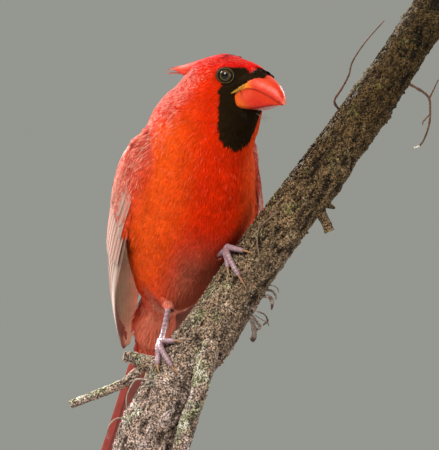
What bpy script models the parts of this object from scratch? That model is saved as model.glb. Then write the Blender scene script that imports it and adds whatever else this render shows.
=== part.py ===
"""Male northern cardinal on a cut length of branch, held by a plain display stand.

Run with  blender --background --python part.py  or from Blender's text editor.
Lengths are written in millimetres and become metres when a mesh is made. +Z is up, the bird's
trunk faces -Y, its left side is +X, and the origin is the centre of the stand's underside.

The trunk, neck and head are one lofted body, parted by thin flat cuts. The head has its own axes:
forward along the bill, left, and up, measured from the midpoint between the eyes. The branch, the
feet and the twigs are placed along the branch, round its axis.
"""

import math

import bmesh
import bpy
import numpy as np

MM = 0.001
GAP = 0.35  # clearance between solids that touch

# Stance
TRUNK_CENTRE = np.array([0.0, 8.0, 127.0])
TRUNK_PITCH = 47.0  # degrees that the trunk's axis rises above level
PERCH_TURN = 20.0  # degrees between the bird's lateral axis and the plane of the branch
HEAD_ORIGIN = np.array([7.5, -30.5, 177.7])  # midway between the eyes
HEAD_YAW = 22.4  # degrees that the head is turned to the bird's left
HEAD_DROP = 7.7  # degrees that the bill points below level
HEAD_ROLL = -4.0

# Body, from the tail's root to the crown. A trunk station's place is (along, above) the trunk's axis,
# in the median plane; a neck or head station's is a point.
# name: (place, pitch, yaw, half width, back radius, front radius, front taper, power)
BODY_SIDES = 24
TRUNK_STATIONS = (
    ((67.0, -1.5), 3.2, 2.2, 2.6),
    ((62.0, -1.6), 5.0, 4.1, 4.9),
    ((54.0, -1.5), 7.2, 7.0, 7.8),
    ((42.0, -1.2), 8.2, 10.2, 9.8),
    ((31.0, -0.6), 13.4, 15.6, 17.0),
    ((17.0, 0.0), 19.0, 20.6, 25.0),
    ((1.0, 0.0), 22.4, 24.2, 27.6),
    ((-14.0, 0.0), 22.2, 25.0, 26.6),
)
NECK_STATIONS = (
    # point, pitch, yaw, half width, back, front, taper, power
    ((-1.1, -9.6, 146.6), 49.0, 0.0, 20.6, 24.6, 23.0, 0.00, 2.0),
    ((-1.6, -14.6, 155.2), 58.0, 6.0, 19.0, 23.6, 19.4, 0.02, 2.0),
    ((0.9, -19.0, 163.4), 68.0, 13.0, 17.7, 22.4, 17.8, 0.08, 2.0),
    ((3.6, -23.0, 170.4), 77.0, 19.0, 15.0, 20.4, 16.8, 0.26, 2.1),
    ((5.0, -25.2, 176.6), 82.0, 22.4, 12.6, 18.0, 16.8, 0.42, 2.1),
    ((5.4, -26.0, 180.4), 82.0, 22.4, 11.2, 15.0, 17.4, 0.42, 2.1),
    ((5.4, -26.0, 182.4), 82.0, 22.4, 8.8, 11.2, 14.6, 0.34, 2.0),
    ((5.2, -25.8, 183.8), 82.0, 22.4, 5.8, 7.4, 9.4, 0.24, 2.0),
    ((5.0, -25.6, 184.8), 82.0, 22.4, 2.0, 2.6, 3.4, 0.00, 2.0),
)
# Where the thin cuts part the body, as stations counted from the tail's root.
CUT_TAIL_COVERTS = 2.6
CUT_TRUNK = 8.4
CUT_NECK = 10.6

# Head furniture, in the head's own axes: forward, left, up
EYE_PLACE = (0.85, 7.45, -0.4)
EYE_RADIUS = 3.5
CULMEN = ((3.0, 4.8), (11.5, 2.9), (14.5, 1.9), (18.0, 0.5), (21.0, -1.0), (23.4, -3.0), (24.9, -5.3), (25.5, -7.6))
CUTTING_EDGE = ((2.0, -7.6), (10.2, -4.0), (13.2, -3.8), (16.6, -4.3), (20.4, -5.5), (24.0, -6.9), (25.4, -7.6))
UPPER_HALF_WIDTH = ((2.0, 6.8), (8.0, 6.8), (14.0, 5.4), (19.0, 3.7), (22.4, 2.3), (24.6, 1.1), (25.5, 0.45))
GONYS = ((2.0, -11.4), (9.6, -11.3), (12.6, -11.0), (17.7, -9.5), (22.0, -8.3), (23.8, -7.8))
LOWER_HALF_WIDTH = ((2.0, 7.4), (7.0, 7.2), (10.0, 6.4), (14.0, 5.0), (19.0, 3.1), (22.8, 1.4), (23.8, 0.7))
CREST_TOP = ((-8.0, 6.9), (-14.0, 5.0), (-21.3, 2.5), (-26.8, 0.5), (-33.5, -1.4), (-38.5, -3.5))
CREST_DEPTH = ((-8.0, 8.0), (-21.3, 7.0), (-28.0, 3.4), (-33.5, 1.8), (-38.5, 0.8))
CREST_HALF_WIDTH = ((-8.0, 6.4), (-14.0, 7.0), (-21.3, 5.4), (-28.0, 3.4), (-38.5, 0.9))
CREST_LEAN = -2.0  # the crest's tip lies a little to the bird's right

# Folded wing: its lower and upper edges as (across, along, above) the trunk's axis, wrist to tip
WING_LOWER = ((20.8, -24.0, 1.5), (24.0, -8.0, -5.0), (24.6, 10.0, -7.6), (22.4, 29.0, -6.6),
              (18.2, 45.0, -4.0), (12.4, 60.0, -0.6), (7.2, 70.5, 1.8))
WING_UPPER = ((19.9, -25.8, 13.4), (18.2, -12.0, 21.4), (13.1, 6.0, 21.5), (8.0, 24.0, 20.0),
              (4.0, 42.0, 14.2), (3.8, 58.0, 8.0), (4.6, 69.5, 2.8))
# how far each wing's middle stands proud of its edges; the left one is held a little looser
WING_BULGE = {-1: (4.1, 4.4, 5.7, 6.2, 5.4, 3.2, 0.5), 1: (1.4, 5.6, 12.6, 6.6, 5.4, 3.2, 0.5)}
WING_THICKNESS = (2.4, 3.0, 3.0, 2.6, 2.0, 1.4, 1.0)
WING_COVERTS_END = 0.40  # share of the wing's length that the coverts take
WING_PRIMARY_SHARE = 0.46  # share of its width, from the lower edge, that the primaries take
WING_SECONDARY_END = 0.80
WING_SEAM = 0.012  # share of the wing's length left open between two of its pieces

# Tail: a closed fan of twelve feathers that hangs more steeply than the trunk
TAIL_ROOT = (0.0, 46.5, 86.0)
TAIL_LENGTH = 83.0
TAIL_PITCH = 59.0
TAIL_HALF_WIDTHS = ((0.0, 4.2), (0.2, 6.4), (0.5, 9.0), (0.8, 11.6), (0.94, 12.0), (1.0, 8.6))
TAIL_THICKNESS = ((0.0, 3.6), (0.3, 3.0), (1.0, 1.3))
TAIL_ARCH = 1.6  # how far the tail's middle stands above its edges
TAIL_SHIFT = 0.6  # the tail's tip swings this far to the bird's left

# Branch: its axis as (sideways, up) in its own plane, with its radius
BRANCH_FORWARD = 15.0  # how far in front of the origin the plane of the branch lies
BRANCH_AXIS = ((-20.6, 24.0, 12.0), (-16.6, 44.0, 11.3), (-10.0, 58.5, 10.6), (-4.6, 69.6, 10.0),
               (4.8, 81.8, 9.7), (14.4, 96.4, 9.5), (24.6, 112.0, 9.0), (33.0, 123.6, 8.8),
               (43.2, 136.8, 9.0), (54.0, 151.8, 8.5), (63.8, 165.8, 8.1), (71.8, 177.4, 7.7),
               (80.2, 190.0, 7.6), (91.6, 206.4, 8.2))
BRANCH_SIDES = 14
# Twigs, each as points (sideways, up, forward of the branch's axis) with radii
SIDE_BRANCH = ((5.6, 81.5, 3.0, 4.6), (5.4, 76.0, 9.0, 3.9), (3.6, 68.0, 11.8, 3.3),
               (1.6, 60.0, 12.4, 3.0), (-1.8, 50.0, 12.2, 3.0), (-5.0, 39.0, 11.8, 2.9), (-7.2, 30.5, 11.6, 2.8))
STUB = ((-6.0, 68.0, 0.0, 5.0), (-14.0, 71.6, 1.0, 3.6), (-20.0, 73.8, 1.6, 2.6), (-25.4, 75.2, 2.0, 2.0))
TWIG = ((-17.6, 72.2, 1.4, 1.6), (-21.6, 68.4, 2.6, 1.7), (-24.6, 65.6, 3.4, 1.7), (-30.0, 63.2, 4.0, 1.6),
        (-37.0, 60.4, 4.2, 1.6), (-44.8, 57.4, 4.2, 1.5))
KNOB = ((42.0, 133.4, 0.0, 3.2), (46.6, 128.6, 0.0, 2.2), (48.6, 124.4, 0.0, 1.7), (50.2, 120.8, 0.0, 1.6))

# Legs. A palm is (place along the branch's axis, angle round it); angles run from the axis's upper
# left side over its front. A toe is (how far it runs along, angle it ends at) from its palm.
PALM_HEIGHT = 1.7  # of the palm's middle above the bark
TOE_RADII = (1.25, 1.15, 1.1, 1.0, 0.95, 0.8, 0.55, 0.28)  # root to claw tip
TARSUS_RADIUS = 1.15
RIGHT_PALM = (3.27, 12.0)
LEFT_PALM = (5.75, 10.0)
RIGHT_TOES = {"inner": (5.0, 54.0), "middle": (-5.5, 96.0), "outer": (-8.0, 56.0), "hind": (1.0, -92.0)}
LEFT_TOES = {"inner": (-8.0, 60.0), "middle": (-8.5, 104.0), "outer": (3.5, 72.0), "hind": (-1.0, -92.0)}
RIGHT_THIGH_TOP = (-8.2, 12.0, 106.0)
LEFT_THIGH_TOP = (6.0, 4.0, 110.0)
RIGHT_THIGH_END = (-8.6, 2.0, 92.8)
LEFT_THIGH_END = (4.5, -18.8, 111.5)
THIGH_RADII = (7.0, 6.0, 4.4, 2.7)

# Stand
BASE_RADIUS = 62.0
BASE_HEIGHT = 10.0
BASE_BEVEL = 1.6
ROD_RADIUS = 3.0
ROD_SOCKET = 6.0  # depth of the rod in the base
ROD_IN_BRANCH = 11.0

MATERIALS = {
    # name: (colour, roughness, metallic)
    "red plumage": ((0.62, 0.045, 0.015), 0.80, 0.0),
    "wing feathers": ((0.30, 0.12, 0.08), 0.70, 0.0),
    "bill horn": ((0.80, 0.13, 0.03), 0.38, 0.0),
    "eye": ((0.03, 0.018, 0.010), 0.06, 0.0),
    "leg scales": ((0.22, 0.14, 0.14), 0.55, 0.0),
    "bark": ((0.16, 0.12, 0.08), 0.92, 0.0),
    "stand wood": ((0.10, 0.055, 0.03), 0.40, 0.0),
    "stand steel": ((0.55, 0.55, 0.56), 0.30, 1.0),
}


def smooth(table, at):
    """Rows of a table read at fractional row numbers, on a Catmull-Rom curve through them."""
    rows = np.asarray(table, float)
    at = np.atleast_1d(np.asarray(at, float))
    first = np.clip(np.floor(at).astype(int), 0, len(rows) - 2)
    u = (at - first)[:, None]
    padded = np.vstack([2 * rows[0] - rows[1], rows, 2 * rows[-1] - rows[-2]])
    before, start, end, after = (padded[first + k] for k in range(4))
    slope_in, slope_out = (end - before) / 2, (after - start) / 2
    return (
        (2 * u**3 - 3 * u**2 + 1) * start + (u**3 - 2 * u**2 + u) * slope_in
        + (3 * u**2 - 2 * u**3) * end + (u**3 - u**2) * slope_out
    )


def along(pairs, at):
    """A value given by (position, value) pairs, read at positions on a smooth curve through them."""
    pairs = np.asarray(pairs, float)
    rows = np.interp(at, pairs[:, 0], np.arange(len(pairs)))
    return smooth(pairs[:, 1:], rows)[:, 0]


def unit(v):
    return v / np.linalg.norm(v, axis=-1, keepdims=True)


def clear_scene():
    for obj in list(bpy.data.objects):
        bpy.data.objects.remove(obj)


def material(name):
    found = bpy.data.materials.get(name)
    if found:
        return found
    colour, roughness, metallic = MATERIALS[name]
    made = bpy.data.materials.new(name)
    made.use_nodes = True
    shader = made.node_tree.nodes["Principled BSDF"]
    shader.inputs["Base Color"].default_value = (*colour, 1.0)
    shader.inputs["Roughness"].default_value = roughness
    shader.inputs["Metallic"].default_value = metallic
    return made


def tube_mesh(name, rings, look):
    """A closed object from rings of points in millimetres: side faces between rings, a cap on each end."""
    rings = np.asarray(rings, float)
    count, sides = rings.shape[:2]
    mesh = bpy.data.meshes.new(name)
    shape = bmesh.new()
    verts = [[shape.verts.new(point * MM) for point in ring] for ring in rings]
    for near, far in zip(verts, verts[1:]):
        for k in range(sides):
            j = (k + 1) % sides
            shape.faces.new((near[k], near[j], far[j], far[k]))
    for ring in (verts[0], verts[-1]):
        middle = shape.verts.new(sum((v.co for v in ring[1:]), ring[0].co.copy()) / sides)
        for k in range(sides):
            shape.faces.new((ring[k], ring[(k + 1) % sides], middle))
    bmesh.ops.recalc_face_normals(shape, faces=shape.faces)
    shape.to_mesh(mesh)
    shape.free()
    mesh.shade_smooth()
    mesh.set_sharp_from_angle(angle=math.radians(50))
    obj = bpy.data.objects.new(name, mesh)
    mesh.materials.append(material(look))
    bpy.context.scene.collection.objects.link(obj)
    return obj


def frozen(obj):
    """Gives the object the mesh that its modifiers make of it, and removes them."""
    bpy.context.view_layer.update()
    graph = bpy.context.evaluated_depsgraph_get()
    mesh = bpy.data.meshes.new_from_object(obj.evaluated_get(graph))
    obj.modifiers.clear()
    obj.data = mesh
    return obj


def combine(obj, other, operation):
    """Joins the other object to this one, or cuts it away."""
    step = obj.modifiers.new(operation.lower(), "BOOLEAN")
    step.operation = operation
    step.solver = "EXACT"
    step.object = other
    frozen(obj)


def join(obj, others):
    for other in others:
        combine(obj, other, "UNION")
        bpy.data.objects.remove(other)
    return obj


def cut_clear(obj, *others):
    """Cuts each of the others, grown by the gap, out of the object."""
    for other in others:
        cutter = other.copy()
        cutter.data = other.data.copy()
        bpy.context.scene.collection.objects.link(cutter)
        grow = cutter.modifiers.new("grow", "DISPLACE")
        grow.strength = GAP * MM
        grow.mid_level = 0.0
        frozen(cutter)
        combine(obj, cutter, "DIFFERENCE")
        bpy.data.objects.remove(cutter)
    return obj


# ---------------------------------------------------------------- frames

def trunk_point(across, lengthwise, above):
    """A point from the trunk's own axes: across to the left, along toward the tail, above the back."""
    pitch = math.radians(TRUNK_PITCH)
    tailward = np.array([0.0, math.cos(pitch), -math.sin(pitch)])
    backward = np.array([0.0, math.sin(pitch), math.cos(pitch)])
    return (
        TRUNK_CENTRE + np.multiply.outer(across, [1.0, 0.0, 0.0])
        + np.multiply.outer(lengthwise, tailward) + np.multiply.outer(above, backward)
    )


def head_axes():
    """The head's forward, left and up directions as rows."""
    yaw, drop, roll = (math.radians(a) for a in (HEAD_YAW, HEAD_DROP, HEAD_ROLL))
    forward = np.array([math.sin(yaw) * math.cos(drop), -math.cos(yaw) * math.cos(drop), -math.sin(drop)])
    level = np.array([math.cos(yaw), math.sin(yaw), 0.0])
    upright = np.cross(forward, level)
    left = level * math.cos(roll) + upright * math.sin(roll)
    up = upright * math.cos(roll) - level * math.sin(roll)
    return np.array([forward, left, up])


def head_point(points):
    return HEAD_ORIGIN + np.asarray(points, float) @ head_axes()


def perch_axes():
    """The branch's plane: its sideways direction, up, and the direction out of its front."""
    turn = math.radians(PERCH_TURN)
    sideways = np.array([math.cos(turn), -math.sin(turn), 0.0])
    front = np.array([-math.sin(turn), -math.cos(turn), 0.0])
    return sideways, np.array([0.0, 0.0, 1.0]), front


def perch_point(sideways, up, forward):
    side, rise, front = perch_axes()
    return (
        np.multiply.outer(sideways, side) + np.multiply.outer(up, rise)
        + np.multiply.outer(np.asarray(forward) + BRANCH_FORWARD, front)
    )


# ---------------------------------------------------------------- body

def body_table():
    """Every station of the body as one row: centre, pitch, yaw, half width, back, front, taper, power."""
    rows = []
    for (lengthwise, above), width, back, front in TRUNK_STATIONS:
        rows.append((*trunk_point(0.0, lengthwise, above), TRUNK_PITCH, 0.0, width, back, front, 0.0, 2.0))
    for point, *rest in NECK_STATIONS:
        rows.append((*point, *rest))
    return np.array(rows)


def body_rings(stations):
    """A ring of the body at each fractional station number."""
    row = smooth(body_table(), stations)
    centre = row[:, None, :3]
    pitch, yaw = np.radians(row[:, 3]), np.radians(row[:, 4])
    width, back, front, taper, power = (row[:, k, None] for k in range(5, 10))
    angle = np.linspace(0.0, 2 * math.pi, BODY_SIDES, endpoint=False)
    c, s = np.cos(angle)[None], np.sin(angle)[None]
    lateral = np.stack([np.cos(yaw), np.sin(yaw), 0 * yaw], 1)[:, None]
    dorsal = np.stack([-np.sin(yaw) * np.sin(pitch), np.cos(yaw) * np.sin(pitch), np.cos(pitch)], 1)[:, None]
    depth = np.where(c > 0, back, front) * np.sign(c) * np.abs(c) ** (2 / power)
    breadth = width * np.sign(s) * np.abs(s) ** (2 / power) * (1 - taper * np.clip(-c, 0, 1) ** 1.5)
    return centre + dorsal * depth[..., None] + lateral * breadth[..., None]


def pressed(points):
    """Points of the belly that the branch would fill, moved out to its bark."""
    axis = branch_points(np.linspace(0, len(BRANCH_AXIS) - 1, 120))
    radius = smooth(BRANCH_AXIS, np.linspace(0, len(BRANCH_AXIS) - 1, 120))[:, 2] * 1.03 + GAP
    flat = points.reshape(-1, 3)
    nearest = np.linalg.norm(flat[:, None] - axis[None], axis=2).argmin(1)
    away = flat - axis[nearest]
    distance = np.linalg.norm(away, axis=1, keepdims=True)
    reach = radius[nearest][:, None]
    return np.where(distance < reach, axis[nearest] + away / distance * reach, flat).reshape(points.shape)


def body_piece(name, start, end, steps, look="red plumage"):
    return tube_mesh(name, pressed(body_rings(np.linspace(start, end, steps))), look)


def make_body():
    last = len(TRUNK_STATIONS) + len(NECK_STATIONS) - 1
    spacing = 0.03  # of a station: the thin cut's width
    return {
        "tail_coverts": body_piece("tail_coverts", 0.0, CUT_TAIL_COVERTS - spacing, 7),
        "trunk": body_piece("trunk", CUT_TAIL_COVERTS + spacing, CUT_TRUNK - spacing, 16),
        "neck": body_piece("neck", CUT_TRUNK + spacing, CUT_NECK - spacing, 7),
        "head": body_piece("head", CUT_NECK + spacing, last - 0.02, 12),
    }


# ---------------------------------------------------------------- head furniture

def half_rings(ends, count, outline):
    """Rings of a bill or crest, from outline(forward) giving (widest height, half width, top, bottom)."""
    stations = ends[0] + (ends[1] - ends[0]) * np.linspace(0, 1, count) ** 0.9
    angle = np.linspace(0, 2 * math.pi, 16, endpoint=False)
    rings = []
    for forward, (widest, width, top, bottom) in zip(stations, outline(stations)):
        rise = np.where(np.sin(angle) > 0, top - widest, widest - bottom) * np.sin(angle)
        across = width * np.sign(np.cos(angle)) * np.abs(np.cos(angle)) ** 0.8
        rings.append(np.stack([np.full_like(angle, forward), across, widest + rise], 1))
    return rings


def upper_outline(forward):
    """The upper bill: an arch over a nearly flat underside, widest just above its cutting edge."""
    top = along(CULMEN, forward)
    edge = along(CUTTING_EDGE, forward) + GAP / 2
    return zip(edge + 0.05 * (top - edge) + 0.1, along(UPPER_HALF_WIDTH, forward), top, np.minimum(edge, top - 0.8))


def lower_outline(forward):
    """The lower bill: a deep keel under a nearly flat top."""
    edge = along(CUTTING_EDGE, forward) - GAP / 2
    bottom = np.minimum(along(GONYS, forward), edge - 0.8)
    return zip(edge - 0.08 * (edge - bottom) - 0.1, along(LOWER_HALF_WIDTH, forward), edge, bottom)


def crest_outline(forward):
    top = along(CREST_TOP[::-1], forward)
    depth = along(CREST_DEPTH[::-1], forward)
    width = along(CREST_HALF_WIDTH[::-1], forward)
    return zip(top - 0.5 * depth, width, top, top - depth)


def make_bill_and_crest(head, neck):
    upper = tube_mesh("bill_upper", [head_point(r) for r in half_rings((2.5, 24.5), 10, upper_outline)], "bill horn")
    lower = tube_mesh("bill_lower", [head_point(r) for r in half_rings((2.5, 22.7), 9, lower_outline)], "bill horn")
    crest_rings = half_rings((-38.5, -10.0), 10, crest_outline)
    for ring in crest_rings:
        ring[:, 1] += CREST_LEAN * np.clip((-12 - ring[:, 0]) / 26.5, 0, 1)
    crest = tube_mesh("crest", [head_point(r) for r in crest_rings], "red plumage")
    for piece in (upper, lower, crest):
        cut_clear(piece, head, neck)


def make_eyes(head):
    for side, name in ((1, "eye_left"), (-1, "eye_right")):
        centre = head_point((EYE_PLACE[0], side * EYE_PLACE[1], EYE_PLACE[2]))
        polar = np.linspace(0.2, math.pi - 0.2, 8)
        turn = np.linspace(0, 2 * math.pi, 14, endpoint=False)
        outward = head_axes()[1] * side
        across, along_axis = head_axes()[0], head_axes()[2]
        rings = [
            centre + EYE_RADIUS * (math.cos(p) * outward
                                   + math.sin(p) * (np.outer(np.cos(turn), across) + np.outer(np.sin(turn), along_axis)))
            for p in polar
        ]
        eye = tube_mesh(name, rings, "eye")
        cut_clear(head, eye)


# ---------------------------------------------------------------- wings and tail

def wing_patch(share, across, side):
    """Points of a wing's middle surface as if on the left, its outward direction and its thickness there."""
    row = np.asarray(share) * (len(WING_LOWER) - 1)
    low, high = smooth(WING_LOWER, row.ravel()), smooth(WING_UPPER, row.ravel())
    bulge = smooth(np.array(WING_BULGE[side])[:, None], row.ravel())[:, 0]
    thick = smooth(np.array(WING_THICKNESS)[:, None], row.ravel())[:, 0]
    u = np.asarray(across).ravel()
    flat = low + (high - low) * u[:, None]
    outward = unit(np.stack([high[:, 2] - low[:, 2], 0 * u, low[:, 0] - high[:, 0]], 1))
    flat = flat + outward * (bulge * 4 * u * (1 - u))[:, None]
    return flat, outward, thick


def wing_piece(name, shares, widths, steps, side):
    """One plate of the wing between two shares of its length and two of its width."""
    length, width = np.linspace(*shares, steps[0]), np.linspace(*widths, steps[1])
    grid_s, grid_u = np.meshgrid(length, width, indexing="ij")
    middle, outward, thick = wing_patch(grid_s, grid_u, side)
    rings = []
    for k in range(steps[0]):
        rows = slice(k * steps[1], (k + 1) * steps[1])
        offset = outward[rows] * thick[rows, None] / 2
        loop = np.vstack([middle[rows] + offset, (middle[rows] - offset)[::-1]])
        loop[:, 0] *= side
        rings.append(trunk_point(loop[:, 0], loop[:, 1], loop[:, 2]))
    return tube_mesh(name, rings, "wing feathers")


def make_wing(side, word):
    seam = WING_SEAM
    secondaries = (WING_COVERTS_END + seam, WING_SECONDARY_END)
    return [
        wing_piece(f"wing_{word}_coverts", (0.0, WING_COVERTS_END), (0.0, 1.0), (8, 8), side),
        wing_piece(f"wing_{word}_secondaries", secondaries, (WING_PRIMARY_SHARE + seam, 1.0), (8, 5), side),
        wing_piece(f"wing_{word}_primaries", (WING_COVERTS_END + seam, 1.0), (0.0, WING_PRIMARY_SHARE), (11, 5), side),
    ]


def make_tail():
    share = np.linspace(0, 1, 12) ** 0.9
    pitch = math.radians(TAIL_PITCH)
    along_tail = np.array([0.0, math.cos(pitch), -math.sin(pitch)])
    above = np.array([0.0, math.sin(pitch), math.cos(pitch)])
    rings = []
    for u, width, thick in zip(share, along(TAIL_HALF_WIDTHS, share), along(TAIL_THICKNESS, share)):
        x = np.linspace(-1, 1, 7)
        arch = TAIL_ARCH * (1 - x**2)
        upper = np.stack([x * width, arch + thick / 2], 1)
        lower = np.stack([x * width, arch - thick / 2], 1)[::-1]
        ring = np.vstack([upper, lower])
        centre = np.array(TAIL_ROOT) + along_tail * TAIL_LENGTH * u + [TAIL_SHIFT * u, 0, 0]
        rings.append(centre + np.outer(ring[:, 0], [1, 0, 0]) + np.outer(ring[:, 1], above))
    return tube_mesh("tail", rings, "wing feathers")


# ---------------------------------------------------------------- perch

def branch_points(at):
    row = smooth(BRANCH_AXIS, at)
    return perch_point(row[:, 0], row[:, 1], np.zeros(len(row)))


def rings_round(path, radii, sides, wobble=0.0):
    """Rings round a path, turned as little as the path allows, with a slow wobble in their radius."""
    tangent = unit(np.gradient(path, axis=0))
    across = perch_axes()[2]
    angle = np.linspace(0, 2 * math.pi, sides, endpoint=False)
    rings = []
    for k, (point, way, radius) in enumerate(zip(path, tangent, radii)):
        first = unit(np.cross(way, across))
        across = np.cross(first, way)
        swell = 1 + wobble * np.sin(3 * angle + 0.9 * k) + wobble * np.cos(2 * angle - 0.7 * k)
        rings.append(point + np.outer(np.cos(angle) * radius * swell, first)
                     + np.outer(np.sin(angle) * radius * swell, across))
    return rings


def twig(name, rows, sides=8):
    fine = smooth(rows, np.linspace(0, len(rows) - 1, 2 * len(rows)))
    path = perch_point(fine[:, 0], fine[:, 1], fine[:, 2])
    return tube_mesh(name, rings_round(path, fine[:, 3], sides), "bark")


def make_perch():
    at = np.linspace(0, len(BRANCH_AXIS) - 1, 24)
    radii = smooth(BRANCH_AXIS, at)[:, 2]
    branch = tube_mesh("perch_branch", rings_round(branch_points(at), radii, BRANCH_SIDES, wobble=0.012), "bark")
    return join(branch, [twig("side", SIDE_BRANCH), twig("stub", STUB), twig("twig", TWIG), twig("knob", KNOB)])


def pillar(name, levels, centre, look, sides):
    """An upright turned piece, from (radius, height) at each level."""
    turn = np.linspace(0, 2 * math.pi, sides, endpoint=False)
    rings = [
        np.column_stack([
            centre[0] + radius * np.cos(turn), centre[1] + radius * np.sin(turn), np.full(sides, height)])
        for radius, height in levels
    ]
    return tube_mesh(name, rings, look)


def make_stand(branch):
    """The base, and the rod that stands in it and holds the branch's lower end."""
    foot = branch_points([0.0])[0]
    rod_ends = ((ROD_RADIUS, BASE_HEIGHT - ROD_SOCKET + GAP), (ROD_RADIUS, foot[2] + ROD_IN_BRANCH))
    rod = pillar("stand_rod", rod_ends, foot, "stand steel", 24)
    levels = ((BASE_RADIUS - 0.6, 0.0), (BASE_RADIUS, 0.6), (BASE_RADIUS, BASE_HEIGHT - BASE_BEVEL),
              (BASE_RADIUS - BASE_BEVEL, BASE_HEIGHT))
    base = pillar("stand_base", levels, np.zeros(3), "stand wood", 44)
    cut_clear(branch, rod)
    cut_clear(base, rod)


# ---------------------------------------------------------------- legs

def round_branch(place, angle, height, shift=0.0):
    """A point at an angle round the branch, at a height above its bark, shifted along it."""
    rows = smooth(BRANCH_AXIS, np.arange(0, len(BRANCH_AXIS) - 0.99, 0.01))
    line = perch_point(rows[:, 0], rows[:, 1], np.zeros(len(rows)))
    steps = np.concatenate([[0], np.cumsum(np.linalg.norm(np.diff(line, axis=0), axis=1))])
    run = np.interp(place, np.arange(0, len(BRANCH_AXIS) - 0.99, 0.01), steps) + shift
    point = np.array([np.interp(run, steps, line[:, k]) for k in range(3)])
    ahead = np.array([np.interp(run + 1, steps, line[:, k]) for k in range(3)])
    radius = np.interp(run, steps, rows[:, 2]) * 1.015 + GAP
    front = perch_axes()[2]
    upper_left = unit(np.cross(ahead - point, front))
    if upper_left[2] < 0:
        upper_left = -upper_left
    turn = math.radians(angle)
    return point + (radius + height) * (math.cos(turn) * upper_left + math.sin(turn) * front)


def toe(name, palm, run, end_angle, grow):
    """A toe and its claw, from inside the palm and round the bark; the claw's tip just clears it."""
    place, start = palm
    path = []
    for k, radius in enumerate(TOE_RADII):
        u = k / (len(TOE_RADII) - 1)
        knuckle = 0.7 * math.sin(math.pi * min(1, 2.2 * u)) if u < 0.5 else 0.0
        height = radius + (PALM_HEIGHT - radius) * max(0, 1 - 3 * u) + knuckle
        if k == len(TOE_RADII) - 2:
            height += 0.5  # the claw arches
        path.append(round_branch(place, start + (end_angle - start) * u, height, run * u))
    return tube_mesh(name, rings_round(np.array(path), np.array(TOE_RADII) + grow, 8), "leg scales")


def leg_shapes(palm, toes, thigh_top, thigh_end, grow=0.0):
    """The separate solids of a leg: its shank up into the feathered thigh, the palm and the toes."""
    foot = round_branch(*palm, PALM_HEIGHT)
    ankle = thigh_end + 0.05 * (thigh_top - thigh_end)
    path = np.array([foot, foot + (ankle - foot) * 0.5, ankle])
    radii = TARSUS_RADIUS * np.array([1.2, 1.0, 1.1]) + grow
    turn = np.linspace(0, 2 * math.pi, 10, endpoint=False)
    ball = [
        foot + (PALM_HEIGHT * 1.05 + grow) * np.column_stack([
            math.sin(p) * np.cos(turn), math.sin(p) * np.sin(turn), np.full(10, math.cos(p))])
        for p in np.linspace(0.3, math.pi - 0.3, 6)
    ]
    return [
        tube_mesh("shank", rings_round(path, radii, 8), "leg scales"),
        tube_mesh("palm", ball, "leg scales"),
        *(toe(f"toe_{name}", palm, *reach, grow) for name, reach in toes.items()),
    ]


def make_leg(word, palm, toes, thigh_top, thigh_end, trunk):
    thigh_top, thigh_end = np.array(thigh_top), np.array(thigh_end)
    spots = np.array([thigh_top + (thigh_end - thigh_top) * u for u in (0.0, 0.4, 0.75, 1.0)])
    thigh = tube_mesh(f"thigh_{word}", pressed(np.array(rings_round(spots, THIGH_RADII, 14))), "red plumage")
    for shape in leg_shapes(palm, toes, thigh_top, thigh_end, GAP):
        combine(trunk, shape, "DIFFERENCE")
        combine(thigh, shape, "DIFFERENCE")
        bpy.data.objects.remove(shape)
    cut_clear(thigh, trunk)
    leg, *others = leg_shapes(palm, toes, thigh_top, thigh_end)
    leg.name = f"leg_{word}"
    join(leg, others)


def main():
    clear_scene()
    body = make_body()
    make_bill_and_crest(body["head"], body["neck"])
    make_eyes(body["head"])
    tail = make_tail()
    wings = make_wing(1, "left") + make_wing(-1, "right")
    for wing in wings:
        for name in ("trunk", "neck", "tail_coverts"):
            cut_clear(body[name], wing)
        cut_clear(tail, wing)
    cut_clear(tail, body["tail_coverts"])
    branch = make_perch()
    make_stand(branch)
    make_leg("right", RIGHT_PALM, RIGHT_TOES, RIGHT_THIGH_TOP, RIGHT_THIGH_END, body["trunk"])
    make_leg("left", LEFT_PALM, LEFT_TOES, LEFT_THIGH_TOP, LEFT_THIGH_END, body["trunk"])


main()
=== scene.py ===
"""Looks of a still, life-size male northern cardinal on a cut branch and a plain display stand.

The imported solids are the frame. Every piece made here is a surface worked out with numpy from the same
sizes, in the same axes: +Z is up, the bird's trunk faces -Y and its left side is +X. Lengths in the
classes are millimetres, and a mesh is scaled to metres as it is made.

One skin covers head, neck, trunk and thighs and lies inside the solids. The coat over it is made of
feathers, each a fan of thin tapering barbs that lies along the body. Wings and tail are separate vanes
with shafts. Colour markings are functions of place, which skin and feathers share.
"""

from __future__ import annotations

import logging
import math
from dataclasses import dataclass, field
from enum import Enum
from functools import cached_property
from itertools import product
from typing import Callable, Iterable, Sequence

import bpy
import numpy as np
from mathutils import Matrix


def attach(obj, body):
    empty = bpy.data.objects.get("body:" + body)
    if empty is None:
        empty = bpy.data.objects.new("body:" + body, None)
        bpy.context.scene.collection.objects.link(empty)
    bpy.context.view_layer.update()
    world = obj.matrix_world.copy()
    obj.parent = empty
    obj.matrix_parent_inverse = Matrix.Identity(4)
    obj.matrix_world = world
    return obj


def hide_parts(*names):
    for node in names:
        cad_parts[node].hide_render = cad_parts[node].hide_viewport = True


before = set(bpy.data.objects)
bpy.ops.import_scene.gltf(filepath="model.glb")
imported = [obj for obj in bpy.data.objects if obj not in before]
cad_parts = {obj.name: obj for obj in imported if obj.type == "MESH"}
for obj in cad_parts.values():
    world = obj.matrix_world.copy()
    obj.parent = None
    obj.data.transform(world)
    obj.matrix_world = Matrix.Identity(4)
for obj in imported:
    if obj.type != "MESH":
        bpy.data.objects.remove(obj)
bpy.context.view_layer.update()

LOG = logging.getLogger("cardinal")
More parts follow.
